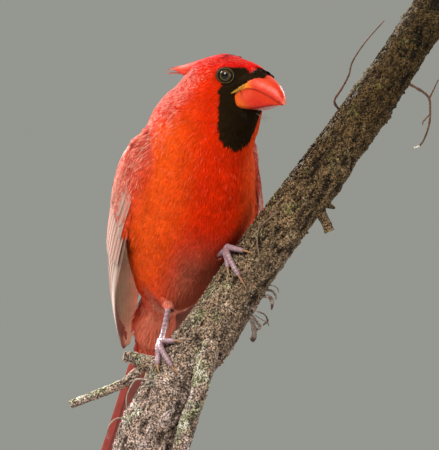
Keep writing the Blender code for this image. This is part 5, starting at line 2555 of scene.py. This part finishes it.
    def saddle_coat(self) -> Shape:
        """Short feathers over the bill's base: red on the forehead, black tufts over the nostrils."""
        u, v = SADDLE.scatter(lambda p: 0.40, 8, (40, 90))
        u = np.clip(u, 0.02, 0.985)
        roots = SADDLE.point(u, v)
        forward, _, up = HEAD.rows()
        tuft = ramp(-0.5, 2.0, HEAD.place(roots)[:, 2])[:, None]
        way = forward * (1.6 * tuft - 0.9) + up * (0.5 - 0.2 * tuft) + 0.7 * stirred(roots, 1.6, 80)
        fluff = np.clip(0.22 + 0.20 * cloud(roots, 1.5, 33), 0.05, 1)
        size = 1.35 + 0.5 * ramp(0.4, 1.0, u)
        coat = Coat(barbs=7, rings=2, barb_width=0.13, spread=0.32, most_bend=0.25)
        return coat.grow(SADDLE, u, v, size, 0.25, fluff, way, lambda p: PLUMAGE.tint(p, 0.35, 9), 41)

    def forehead(self) -> Shape:
        """A small tuft that overhangs the culmen's root."""
        u, v = BODY.scatter(lambda p: 0.62, 12)
        f, l, height = HEAD.place(BODY.point(u, v)).T
        mine = (f > 6.0) & (height > 3.4) & (np.abs(l) < 4.5)
        forward, _, up = HEAD.rows()
        coat = Coat(barbs=9, rings=2, barb_width=0.085, most_bend=0.3)
        return coat.grow(BODY, u[mine], v[mine], np.full(mine.sum(), 1.7), 0.3, 0.10,
                         up * 0.5 - forward * 0.8,
                         lambda p: PLUMAGE.tint(p, 0.35, 9), 42)

    def crest_coat(self) -> Shape:
        """Long narrow feathers laid back over the crest, whose tips part into a few strands.

        A barb follows the crest's surface from its root back to its feather's tip, drawing in toward the
        feather's own angle as it goes.
        """
        random = np.random.default_rng(61)
        feathers, barbs, places = 460, 8, 11
        count = feathers * barbs
        root = random.uniform(4.5, 24.0, feathers)
        angle = random.uniform(0, TURN, feathers)
        tip = np.minimum(root + random.uniform(8.0, 14.0, feathers), random.uniform(27.0, 33.0, feathers))
        strands = ((40.4, 1.9), (40.0, 2.2), (39.4, 1.5), (39.8, 4.5), (39.2, 4.2), (38.2, 4.8), (33.8, 1.6),
                   (33.0, 1.3), (36.4, 2.8), (35.6, 3.4), (34.4, 5.2), (33.8, 3.9), (35.0, 0.6))
        for k, (end, way) in enumerate(strands):
            root[k], tip[k], angle[k] = end - 16.0, end, way
        feather = np.repeat(np.arange(feathers), barbs)
        slot = np.tile(np.linspace(-1, 1, barbs), feathers)[:, None]
        start = (root[feather] + random.uniform(0, 2.0, count))[:, None]
        drawn_in = 0.28 * np.abs(slot[:, 0]) + random.uniform(0, 0.06, count)
        end = (tip[feather] - (tip - root)[feather] * drawn_in)[:, None]
        share = np.linspace(0, 1, places)[None]
        u = start + (end - start) * share
        fan = (0.9 / np.maximum(along(CREST.half_width, -root), 1.5))[feather][:, None]
        v = angle[feather][:, None] + slot * fan * (1.1 - 0.85 * share)
        v = v + random.normal(0, 0.03, count)[:, None] * share
        flat_u, flat_v = u.ravel(), v.ravel()
        normal = CREST.slopes(np.minimum(flat_u, 39.4), flat_v)[2].reshape(*u.shape, 3)
        height = -0.35 + 0.55 * np.sin(share * math.pi * 0.75) + random.uniform(-0.05, 0.12, count)[:, None]
        path = CREST.point(flat_u, flat_v).reshape(*u.shape, 3) + normal * height[..., None]
        side = unit(np.cross(normal, np.gradient(path, axis=1)))
        half = np.interp(share, (0, 0.2, 0.7, 1), (0.10, 0.17, 0.12, 0.0))
        half = half * random.uniform(0.8, 1.2, count)[:, None]
        tone = (1 + random.normal(0, 0.08, feathers))[feather] * (1 + random.normal(0, 0.08, count))
        # Barbs darken toward their roots, partly their duskier bases and partly painted shade where they
        # overlap.
        tint = self.crest_tint(path.reshape(-1, 3)).reshape(path.shape) * tone[:, None, None] \
            * np.interp(share, (0, 0.4, 1), (0.6, 0.95, 1.1))[..., None]
        within = np.stack(np.broadcast_arrays(slot * 0.3, share - 0.5), -1) * TUFT_PATCH
        return blades(path, side, half, tint, CREST.spot(start[:, 0], v[:, 0])[:, None] + within)

    def crest_tint(self, points: Array) -> Array:
        """Crown red, paler and pinker toward the crest's end as a painted backlit highlight."""
        f = HEAD.place(points)[:, 0]
        return mix(PLUMAGE.tint(points), (0.72, 0.10, 0.06), ramp(-14.0, -34.0, f) * 0.8)

    def build(self) -> None:
        """Makes everything on the head."""
        show("bill_upper_horn", self.bill_half((2.5, 25.65), BILL.upper, True), HORN, Slot.BILL,
             ["bill_upper"])
        show("bill_lower_horn", self.bill_half((2.5, 24.3), BILL.lower, False), HORN, Slot.BILL,
             ["bill_lower"])
        show("gape", joined(self.gape()), HORN, Slot.BILL)
        for side, word in ((1, "left"), (-1, "right")):
            show(f"eyeball_{word}", self.eyeball(side), WET, Slot.EYE, [f"eye_{word}"])
            show(f"eyelid_{word}", self.lid(side), LIDS, Slot.EYE)
        show("saddle_coat", self.saddle_coat(), FEATHERS, Slot.PLUMAGE)
        show("forehead_coat", self.forehead(), FEATHERS, Slot.PLUMAGE)
        show("crest_coat", self.crest_coat(), FEATHERS, Slot.PLUMAGE)
        show("bristles", self.bristles(44, 77), LIDS, Slot.PLUMAGE)


# --- legs


@dataclass(frozen=True)
class Leg:
    """One leg: a scutellate shank, a palm and four toes round the branch, each with its claw.

    Attributes:
        palm: (station along the branch, angle round it).
        toes: For each toe, how far it runs along the branch and the angle it ends at.
    """

    word: str
    palm: tuple
    toes: dict
    palm_height: float = 1.7
    radii: tuple = (1.25, 1.15, 1.1, 1.0, 0.95, 0.8, 0.55, 0.28)
    shank_radius: float = 1.1

    def toe_path(self, run: float, end_angle: float, share: Array) -> tuple[Array, Array, Array]:
        """A toe's middle line, radii and outward directions at shares of its length.

        Args:
            run: The toe's length over the bark.
            end_angle: Where it ends round the branch, in degrees.
            share: Shares of the way along, from 0 to 1.

        Returns:
            Three arrays.
        """
        place, start = self.palm
        radius = smooth(self.radii, share * (len(self.radii) - 1))
        knuckle = np.where(share < 0.5, 0.7 * np.sin(np.pi * np.minimum(1, 2.2 * share)), 0.0)
        arch = 0.55 * bell((share, 0.85, 0.09))
        height = radius + (self.palm_height - radius) * np.maximum(0, 1 - 3 * share) + knuckle + arch
        points, out = BRANCH.on_bark(place, start + (end_angle - start) * share, height, run * share)
        return points, radius, out

    def scuted(self, path: Array, radii: Array, out: Array, scutes: float) -> Shape:
        """A toe or shank with overlapping plates on its outer side and pads beneath.

        Args:
            path: Its middle line.
            radii: Its radii.
            out: Direction of its plated side at each point.
            scutes: How many plates it has.

        Returns:
            The closed shape.
        """
        out, aside = self.outward(path, out)
        turn = circle(26)
        facing = np.clip(np.cos(turn), 0, 1) ** 0.5
        phase = (np.linspace(0, scutes, len(path)) % 1)[:, None]
        plate = 0.085 * (1 - phase) * facing * (phase > 0.02) - 0.05 * bell((phase, 0.97, 0.05)) * facing
        bumps = np.abs(np.sin(np.linspace(0, scutes * 0.55, len(path)) * math.pi))[:, None]
        reach = radii[:, None] * (1 + plate + 0.08 * bumps * np.clip(-np.cos(turn), 0, 1))
        rings = path[:, None] + reach[..., None] * around(turn, out[:, None], aside[:, None])
        mauve, pale, dark = (0.25, 0.145, 0.165), (0.42, 0.31, 0.34), (0.070, 0.040, 0.044)
        return loft(rings, layered(mauve, (pale, 0.65 * ramp(0.55, 0.05, phase) * facing),
                                   (dark, bell((phase, 0.96, 0.07)) * 0.8 * facing)))

    def outward(self, path: Array, out: Array) -> tuple[Array, Array]:
        """Directions out and aside for the rings of a path.

        Args:
            path: Points of the path.
            out: Directions out, about square to it.

        Returns:
            Two directions for each point.
        """
        ahead = unit(np.gradient(path, axis=0))
        out = across_way(out, ahead)
        return out, np.cross(ahead, out)

    def claw(self, run: float, end_angle: float) -> Shape:
        """A curved, flattened cone from inside the toe's end to the claw's tip.

        Args:
            run: The toe's length over the bark.
            end_angle: Where the toe ends round the branch, in degrees.

        Returns:
            The closed shape.
        """
        share = np.linspace(0.66, 1.0, 34)
        path, _, out = self.toe_path(run, end_angle, share)
        way = (share - share[0]) / (share[-1] - share[0])
        radii = 0.70 * (1 - way) ** 0.75 + 0.05
        out, aside = self.outward(path, out)
        rings = path[:, None] + radii[:, None, None] * around(circle(16), out[:, None], 0.72 * aside[:, None])
        return loft(rings, mix((0.20, 0.105, 0.065), (0.46, 0.24, 0.12), way)[:, None])

    def build(self) -> None:
        """Makes the leg and its claws."""
        thigh = THIGHS[self.word]
        top, end = np.array(thigh.top), np.array(thigh.end)
        place, angle = self.palm
        height = np.array([self.palm_height])
        foot, out = (a[0] for a in BRANCH.on_bark(place, np.array([angle]), height, np.zeros(1)))
        ankle = end + 0.05 * (top - end)
        share = np.linspace(-0.04, 1, 150)
        radii = self.shank_radius * (0.93 + 0.27 * bell((share, 0.0, 0.10)) + 0.12 * ramp(0.8, 1.0, share))
        reach = float(np.linalg.norm(ankle - foot))
        path = foot + (ankle - foot) * share[:, None]
        parts = [self.scuted(path, radii, BRANCH.rows()[2][None], max(3.0, reach / 2.6))]
        polar = np.linspace(0.02, math.pi - 0.02, 40)
        ball = self.palm_height * 1.02
        path = foot + unit(ankle - foot) * (ball * -np.cos(polar))[:, None]
        parts.append(self.scuted(path, ball * np.sin(polar), out[None], 3))
        closing = np.sqrt(np.clip(1 - np.linspace(0, 1, 130) ** 26, 0.05, 1))
        claws = []
        for run, end_angle in self.toes.values():
            path, radii, out_ways = self.toe_path(run, end_angle, np.linspace(0, 0.72, 130))
            parts.append(self.scuted(path, radii * closing, out_ways, 11))
            claws.append(self.claw(run, end_angle))
        show(f"leg_{self.word}_scutes", joined(parts), SCUTES, Slot.LEG, [f"leg_{self.word}"])
        show(f"leg_{self.word}_claws", joined(claws), CLAWS, Slot.LEG)
        self.thigh_coat(thigh, top, end)

    def thigh_coat(self, thigh: Thigh, top: Array, end: Array) -> None:
        """Loose feathers down the thigh like those of the belly, paler at its end.

        Args:
            thigh: The thigh's surface.
            top: Where the feathers begin.
            end: Where they end.
        """
        u, v = thigh.scatter(lambda p: 1.0, 30, (40, 60))
        u, v = u[u > 0.1], v[u > 0.1]
        way = unit(end - top)

        def colour(points: Array) -> Array:
            """The belly's colour, paler toward the end."""
            down = np.clip((points - top) @ way / np.linalg.norm(end - top), 0, 1.2)
            return mix(PLUMAGE.tint(points), PLUMAGE.pale, ramp(0.75, 1.05, down) * 0.5)

        coat = Coat(barbs=9, rings=2, barb_width=0.07, stray=0.12, most_bend=0.15)
        shape = coat.grow(thigh, u, v, 6.4 - 3.4 * u, 0.5, 0.25, way, colour, 90)
        show(f"thigh_{self.word}_coat", shape, FEATHERS, Slot.PLUMAGE)


# --- perch


@dataclass(frozen=True)
class Perch:
    """The cut branch with its twigs, bark, lichen and a few dry tendrils."""

    side_branch: tuple = (
        (5.6, 81.5, 3.0, 4.6), (5.4, 76.0, 9.0, 3.9), (3.6, 68.0, 11.8, 3.3), (1.6, 60.0, 12.4, 3.0),
        (-1.8, 50.0, 12.2, 3.0), (-5.0, 39.0, 11.8, 2.9), (-7.2, 30.5, 11.6, 2.8))
    stub: tuple = ((-6.0, 68.0, 0.0, 5.0), (-14.0, 71.6, 1.0, 3.6), (-20.0, 73.8, 1.6, 2.6),
                   (-25.4, 75.2, 2.0, 2.0))
    twig: tuple = (
        (-17.6, 72.2, 1.4, 1.6), (-21.6, 68.4, 2.6, 1.7), (-24.6, 65.6, 3.4, 1.7), (-30.0, 63.2, 4.0, 1.6),
        (-37.0, 60.4, 4.2, 1.6), (-44.8, 57.4, 4.2, 1.5))
    knob: tuple = (
        (40.5, 135.5, 0.0, 6.0), (43.6, 131.8, 0.0, 4.9), (45.9, 129.2, 0.0, 3.1), (47.2, 127.0, 0.0, 2.0),
        (48.6, 124.4, 0.0, 1.75), (50.2, 120.8, 0.0, 1.8))
    spur: tuple = ((46.8, 132.0, 0.0, 2.2), (49.2, 130.8, 0.0, 1.3), (50.8, 129.9, 0.0, 0.8),
                   (52.0, 129.3, 0.0, 0.5))
    # Factors for the bark's colour by height: lighter low down, much darker high up.
    height_factors: tuple = (
        (20.0, (1.60, 1.50, 1.75)), (55.0, (1.55, 1.45, 1.65)), (95.0, (1.0, 0.88, 0.80)),
        (129.0, (0.70, 0.57, 0.40)), (165.0, (0.29, 0.215, 0.095)), (210.0, (0.24, 0.185, 0.085)))

    def barked(self, path: Array, radii: Array, sides: int, coarse: float, lichen_bias: float,
               seed: int) -> Shape:
        """A limb with fissured bark.

        The bark's height is a ridged noise, one minus its size, stretched along the limb, plus finer
        noise and round warts. Lichen grows where another noise and the upward facing allow it.

        Args:
            path: The limb's axis.
            radii: Its radii.
            sides: Points in a ring.
            coarse: Depth of the fissures in millimetres.
            lichen_bias: How much of it lichen covers, from -1 to 1.
            seed: Chooses the noise.

        Returns:
            The closed limb.
        """
        rings = tube(path, radii, BRANCH.rows()[2], sides)
        outward = unit(rings - path[:, None])
        turn = circle(sides)
        wound = np.stack(np.broadcast_arrays(np.cos(turn) * radii[:, None], np.sin(turn) * radii[:, None],
                                             distances(path)[:, None] * 0.42), -1).reshape(-1, 3)
        spots = rings.reshape(-1, 3)
        ridges = 1 - 2.2 * np.abs(cloud(wound, 2.6, seed, 2))
        fine = cloud(spots, 0.9, seed + 1, 2)
        swell = cloud(spots, 9.0, seed + 2, 2)
        warts = np.clip(lattice_noise(spots / 1.7, seed + 3) - 0.45, 0, 1) * 1.6
        height = coarse * (0.38 * ridges + 0.42 * fine + 0.8 * swell + 0.9 * warts - 0.20)
        up = outward.reshape(-1, 3) @ unit(np.array([-0.55, 0.1, 0.8]))
        patchy = cloud(spots, 5.0, seed + 4, 3)
        lichen = ramp(0.10, 0.42, patchy + 0.42 * up + 0.35 * lichen_bias - 0.10)
        height = height + 0.18 * lichen * (1 + fine)
        rings = rings + outward * height.reshape(len(path), sides, 1)
        spots = rings.reshape(-1, 3)
        crack, ridge, grey = (0.035, 0.024, 0.016), (0.215, 0.165, 0.120), (0.36, 0.31, 0.27)
        green = mix((0.150, 0.158, 0.080), (0.33, 0.34, 0.26),
                    ramp(-0.3, 0.6, cloud(spots, 1.6, seed + 6, 2)))
        colour = layered(crack, (ridge, ramp(-0.5, 0.75, ridges + 0.5 * fine)),
                         (grey, ramp(0.1, 0.8, cloud(spots, 3.0, seed + 5, 3)) * 0.55),
                         (green, lichen * 0.85 * ramp(-0.9, 0.2, ridges + fine)))
        return loft(rings, (colour * self.height_factor(spots)).reshape(rings.shape))

    def height_factor(self, points: Array) -> Array:
        """What the bark's colour is multiplied by at each point's height."""
        heights, factors = zip(*self.height_factors)
        return np.stack([np.interp(points[:, 2], heights, channel) for channel in zip(*factors)], 1)

    def limb(self, rows: Sequence, step: float, sides: int, coarse: float, lichen: float, seed: int) -> Shape:
        """A twig from its (sideways, up, forward, radius) rows.

        Args:
            rows: Its (sideways, up, forward, radius) rows.
            step: Distance between its rings.
            sides: Points in a ring.
            coarse: Size of its bark's relief.
            lichen: How much lichen it bears.
            seed: Seed of its random draws.

        Returns:
            The shape.
        """
        count = int(distances(np.array(rows)[:, :3])[-1] / step)
        fine = smooth(rows, np.linspace(0, len(rows) - 1, count))
        return self.barked(BRANCH.point(fine[:, :3]), fine[:, 3], sides, coarse, lichen, seed)

    def wires(self) -> Shape:
        """Dry wiry shoots off the branch, from (sideways, up, forward) points, two radii and a colour."""
        pale, brown = (0.36, 0.29, 0.25), (0.115, 0.062, 0.040)
        routes = (
            ((-13.5, 66.0, 8.5), (-20.0, 66.9, 8.0), (-22.4, 64.7, 8.0), (-24.1, 61.0, 7.0),
             (-24.3, 57.4, 6.0), (-23.7, 53.3, 4.0), 0.36, 0.20, pale),
            ((-20.0, 52.4, 4.0), (-24.1, 52.2, 5.0), (-27.2, 52.6, 6.0), (-29.8, 51.1, 7.0),
             (-31.2, 48.2, 6.0), (-30.9, 45.0, 4.0), 0.36, 0.20, pale),
            ((53.8, 165.0, 0.0), (51.8, 168.6, 3.0), (54.6, 173.4, 5.0), (57.0, 178.0, 6.0),
             (58.4, 183.0, 6.0), (63.0, 190.0, 6.0), (70.0, 198.0, 5.0), 0.50, 0.22, brown),
            ((76.0, 176.0, 0.0), (81.0, 173.8, 3.0), (86.0, 170.2, 4.0), (86.8, 165.4, 4.0),
             (86.4, 160.0, 4.0), (84.6, 154.6, 4.0), (82.8, 152.0, 4.0), 0.55, 0.32, brown),
            ((86.2, 169.0, 4.0), (88.0, 172.6, 4.0), (89.8, 176.4, 3.0), 0.40, 0.22, brown),
            ((86.6, 163.6, 4.0), (84.4, 161.2, 5.0), (84.0, 159.8, 5.0), 0.34, 0.2, brown),
            ((82.9, 152.1, 4.0), (81.6, 151.4, 4.0), (80.8, 151.6, 4.0), 0.34, 0.4, (0.6, 0.55, 0.5)),
            ((31.4, 128.3, 8.9), (28.0, 125.6, 8.4), (24.2, 121.9, 7.7), (23.5, 116.6, 9.4),
             (24.2, 111.3, 10.0), (22.0, 107.5, 10.2), (16.7, 105.3, 9.8), 0.34, 0.24, (0.20, 0.135, 0.10)),
        )
        made = []
        for *route, thick, thin, colour in routes:
            fine = smooth(route, np.linspace(0, len(route) - 1, 70))
            knots = 1 + 0.25 * lattice_noise(fine / 1.1, 7)
            radii = np.linspace(thick, thin, 70) * knots
            made.append(loft(tube(BRANCH.point(fine), radii, BRANCH.rows()[1], 8), colour))
        return joined(made)

    def husks(self) -> Shape:
        """Curled dry bud husks that hang from the branch's lower side: flat tapering tubes."""
        routes = (
            ((23.6, 101.2, 1.0), (28.4, 101.2, 2.0), (30.8, 100.2, 3.0), (31.4, 98.4, 3.0), 0.62),
            ((24.0, 99.2, 0.0), (28.6, 99.2, 1.0), (30.4, 97.2, 1.0), (30.2, 95.8, 1.0), 0.55),
            ((24.0, 97.0, 2.0), (27.8, 97.0, 3.0), (29.0, 95.0, 4.0), (28.8, 92.2, 3.0), 0.75),
            ((20.9, 93.2, 5.0), (23.8, 91.6, 6.0), (26.3, 90.4, 5.0), (27.3, 88.2, 4.0), (25.7, 86.6, 3.0),
             1.0),
            ((21.0, 91.0, 4.0), (23.3, 88.0, 5.0), (24.5, 86.0, 4.0), (23.1, 84.6, 3.0), 0.8),
            ((20.2, 90.6, 3.0), (22.0, 87.0, 4.0), (22.5, 83.4, 4.0), (21.7, 80.8, 3.0), (20.9, 81.8, 2.0),
             0.95),
            ((22.4, 90.4, 1.0), (25.3, 88.6, 1.0), (27.3, 87.4, 1.0), (27.9, 86.2, 2.0), 0.5),
        )
        share = np.linspace(0, 1, 44)
        outline = 0.35 + 0.65 * np.sin(math.pi * np.clip(share * 1.05, 0, 1)) ** 0.8
        made = []
        for number, (*route, wide) in enumerate(routes):
            path = BRANCH.point(smooth(route, share * (len(route) - 1)))
            ripple = 1 + 0.22 * lattice_noise(path / 0.9, 91 + number)
            rings = tube(path, wide * outline * ripple + 0.05, BRANCH.rows()[2], 18,
                         oval(circle(18) + number, 0.30))
            faded = np.clip(0.35 + 0.6 * lattice_noise(path / 1.3, 92), 0, 1)
            made.append(loft(rings, mix((0.085, 0.052, 0.040), (0.40, 0.32, 0.29), faded)[:, None]))
        return joined(made)

    def grains(self, seed: int) -> Shape:
        """Crusty grains of bark, moss and lichen: thousands of small closed lumps over the branch.

        A lump has three rings of seven points, with radii of its own, between a top and a foot under the
        bark. Moss colours gather on the upper left side.

        Args:
            seed: Seed of its random draws.

        Returns:
            The shape.
        """
        random = np.random.default_rng(seed)
        count, sides = 4200, 7
        angle = np.concatenate([random.normal(-8.0, 24.0, count // 3),
                                random.uniform(-110, 130, count - count // 3)])
        place = random.uniform(0.2, 12.8, count)
        spot, out = BRANCH.on_bark(place, angle, np.zeros(count), np.zeros(count))
        centre = spot - out * BRANCH.gap
        size = 0.22 + 0.40 * random.uniform(0, 1, count) ** 2
        across = unit(np.cross(out, random.normal(0, 1, (count, 3))))
        ring = around(circle(sides), across[:, None], np.cross(out, across)[:, None])
        layers = []
        for reach, height in ((0.8, -0.7), (1.0, 0.15), (0.6, 0.62)):
            own = reach * random.uniform(0.7, 1.3, (count, sides, 1))
            layers.append(centre[:, None] + (ring * own + out[:, None] * height) * size[:, None, None])
        top, foot = centre + out * (size * 0.8)[:, None], centre - out * (size * 0.9)[:, None]
        points = np.concatenate([*layers, top[:, None], foot[:, None]], 1)
        index = np.arange(sides)
        after = np.roll(index, -1)
        quads = np.stack([index, after, after + sides, index + sides], 1)
        quads = np.concatenate([quads, quads + sides])
        top_number, corners = np.full(sides, 3 * sides), 3 * sides + 2
        caps = np.concatenate([np.stack([index + 2 * sides, after + 2 * sides, top_number], 1),
                               np.stack([after, index, top_number + 1], 1)])
        base = np.arange(count)[:, None, None] * corners
        kind = random.uniform(0, 1, count) + 0.5 * bell((angle, -8, 30))
        moss = mix((0.11, 0.115, 0.050), (0.33, 0.33, 0.21), random.uniform(0, 1, count))
        grit = mix((0.060, 0.043, 0.030), (0.36, 0.295, 0.24), random.uniform(0, 1, count) ** 1.6)
        colour = np.where((kind > 1.10)[:, None], moss, grit) * self.height_factor(centre)
        tint = np.repeat(colour, corners, axis=0)
        return Shape(points.reshape(-1, 3), [(base + quads).reshape(-1, 4), (base + caps).reshape(-1, 3)],
                     tint)

    def build(self) -> None:
        """Makes the branch, its twigs, crusty grains, and dry shoots and husks."""
        stations = np.linspace(0.0, len(BRANCH.axis) - 1, 560)
        path, radii = BRANCH.line(stations)
        collar = 0.9 * bell((stations, 3.8, 0.45)) + 0.7 * bell((stations, 2.6, 0.4))
        trunk = self.barked(path, radii * 0.985 + 0.35 * collar, 150, 0.95, -0.85, 11)
        show("branch_bark", trunk, BARK, Slot.BARK, ["perch_branch"])
        twigs = [
            self.limb(self.side_branch, 0.35, 64, 0.42, 0.75, 31),
            self.limb(self.stub, 0.35, 64, 0.45, 0.1, 32), self.limb(self.twig, 0.30, 40, 0.26, 0.9, 33),
            self.limb(self.knob, 0.30, 64, 0.40, -0.2, 34),
            self.limb(self.spur, 0.30, 30, 0.30, -0.2, 35)]
        show("branch_twigs", joined(twigs), BARK, Slot.BARK)
        show("branch_grains", self.grains(55), LICHEN, Slot.BARK)
        show("branch_wires", joined([self.wires(), self.husks()]), LICHEN, Slot.BARK)


# --- stand and studio


@dataclass(frozen=True)
class Stand:
    """The turned base and the rod that holds the branch."""

    radius: float = 62.0
    height: float = 10.0
    rod_radius: float = 3.0
    rod_foot: float = 4.35
    rod_top: float = 35.0

    def turned(self, profile: Sequence, centre: Array, sides: int) -> Shape:
        """A shape turned from (radius, height) points about an upright axis.

        Args:
            profile: (radius, height) points.
            centre: The axis's foot.
            sides: Points in a ring.

        Returns:
            The closed shape.
        """
        reach, height = np.array(profile).T[..., None, None]
        x, y, z = np.eye(3)
        return loft(np.array([*centre, 0.0]) + reach * around(circle(sides), x, y) + height * z)

    def build(self) -> None:
        """Makes the base with a cove and bead round its edge, the rod, and the collar at its foot."""
        edge, height, bore, collar_radius = self.radius, self.height, self.rod_radius + 0.1, 5.2
        arc = np.linspace(0, math.pi / 2, 10)
        foot = [(edge - 1.2, 0.0), (edge - 0.3, 0.3), (edge, 1.2), (edge, 3.2)]
        cove = [(edge - 2.2 * math.sin(a), 3.6 + 2.6 * (1 - math.cos(a))) for a in arc]
        bead = [(edge - 3.0 - 2.4 * (1 - math.cos(a)), 6.8 + (height - 6.8) * math.sin(a)) for a in arc]
        base = self.turned([*foot, *cove, *bead], np.zeros(2), 192)
        show("stand_turned_base", base, TURNED_WOOD, Slot.WOOD, ["stand_base"])
        spot = BRANCH.line(np.zeros(1))[0][0][:2]
        rod = [(self.rod_radius, self.rod_foot), (self.rod_radius, self.rod_top)]
        collar = [(bore, height - 1.0), (collar_radius, height - 1.0), (collar_radius, height + 0.9),
                  (collar_radius - 0.4, height + 1.4), (bore, height + 1.6)]
        metal = joined([self.turned(rod, spot, 64), self.turned(collar, spot, 64)])
        show("stand_round_rod", metal, STEEL, Slot.STEEL, ["stand_rod"])


@dataclass(frozen=True)
class Studio:
    """Floor, lights and camera. Azimuths are degrees to the left of straight behind the camera."""

    azimuth: float = -20.0
    distance: float = 4.0
    frame_height: float = 0.1654
    centre: tuple = (9.74, 123.2)
    floor_radius: float = 1.3
    floor_sides: int = 96
    aim: tuple = (0.0, -0.012, 0.135)
    lamps: tuple = (
        ("key", (-0.60, 1.05, 1.20), 38.0, 0.75, (1.0, 0.96, 0.88)),
        ("rim", (-0.85, 1.00, -1.50), 130.0, 0.35, (1.0, 0.98, 0.95)),
        ("edge", (0.95, 0.75, -0.9), 26.0, 0.3, (0.95, 0.98, 1.0)),
        ("fill", (1.3, 0.1, 1.1), 10.0, 1.0, (1.0, 0.97, 0.90)),
        ("glint", (-1.35, 0.95, -0.35), 22.0, 0.5, (0.9, 0.96, 1.0)))

    def view_axes(self) -> Array:
        """Rightward, up and toward the camera, as rows."""
        a = math.radians(self.azimuth)
        return np.array([[math.cos(a), math.sin(a), 0], [0, 0, 1], [math.sin(a), -math.cos(a), 0]])

    def lamp(self, name: str, way: tuple, power: float, size: float, colour: tuple) -> None:
        """An area light at a (right, up, toward the camera) place in metres, aimed at the bird.

        Args:
            name: The lamp's name.
            way: Its place.
            power: Its power in watts.
            size: Its side in metres.
            colour: Its colour.
        """
        data = bpy.data.lights.new(name, "AREA")
        data.energy, data.size, data.color = power, size, colour
        light = bpy.data.objects.new(name, data)
        spot = np.array(self.aim) + np.asarray(way) @ self.view_axes()
        back = unit(spot - self.aim)
        side = unit(np.cross([0, 0, 1.0], back))
        rows = np.array([side, np.cross(back, side), back])
        light.matrix_world = Matrix([[*rows[:, k], spot[k]] for k in range(3)] + [[0, 0, 0, 1]])
        light.visible_camera = False
        bpy.context.scene.collection.objects.link(light)

    def build(self) -> None:
        """Makes the floor, the sky, the lamps and the camera."""
        sides = self.floor_sides
        turn = circle(sides)
        rim = np.column_stack([np.cos(turn), np.sin(turn), 0 * turn]) * self.floor_radius / MM
        points = np.vstack([rim * 0.02, rim * 0.5, rim, np.zeros(3)])
        index = np.arange(sides)
        middle = np.column_stack([index, np.roll(index, -1), np.full(sides, 3 * sides)])
        faces = [grid_faces(3, sides, closed=True)[:, ::-1], middle]
        floor = make_object("floor", Shape(points, faces), FLOOR)
        floor.location.z = -0.0002
        world = bpy.data.worlds.new("studio")
        bpy.context.scene.world = world
        world.use_nodes = True
        sky = world.node_tree.nodes["Background"]
        sky.inputs["Color"].default_value = (0.60, 0.62, 0.56, 1.0)
        sky.inputs["Strength"].default_value = 0.5
        for lamp in self.lamps:
            self.lamp(*lamp)
        scene = bpy.context.scene
        scene.view_settings.view_transform = "Standard"
        data = bpy.data.cameras.new("camera")
        data.sensor_width = 36.0
        data.lens = data.sensor_width * self.distance / self.frame_height
        data.clip_start, data.clip_end = 0.1, 20.0
        camera = bpy.data.objects.new("camera", data)
        right, up, back = self.view_axes()
        camera.location = right * self.centre[0] * MM + up * self.centre[1] * MM + back * self.distance
        camera.rotation_euler = (math.pi / 2, 0.0, math.radians(self.azimuth))
        scene.collection.objects.link(camera)
        scene.camera = camera


def main() -> None:
    """Builds the bird, its perch and stand, and the studio."""
    logging.basicConfig(level=logging.INFO, format="%(message)s")
    coat = BodyCoat()
    Skin().build(coat)
    coat.build()
    HeadFurniture().build()
    for word in WINGS:
        WingFeathers(word).build()
    TailFeathers().build()
    Leg("right", (3.27, 12.0), {"inner": (5.0, 54.0), "middle": (-5.5, 96.0), "outer": (-8.0, 56.0),
                                "hind": (1.0, -92.0)}).build()
    Leg("left", (5.75, 10.0), {"inner": (-8.0, 60.0), "middle": (-8.5, 104.0), "outer": (3.5, 72.0),
                               "hind": (-1.0, -92.0)}).build()
    Perch().build()
    Stand().build()
    Studio().build()


if __name__ == "__main__":
    main()
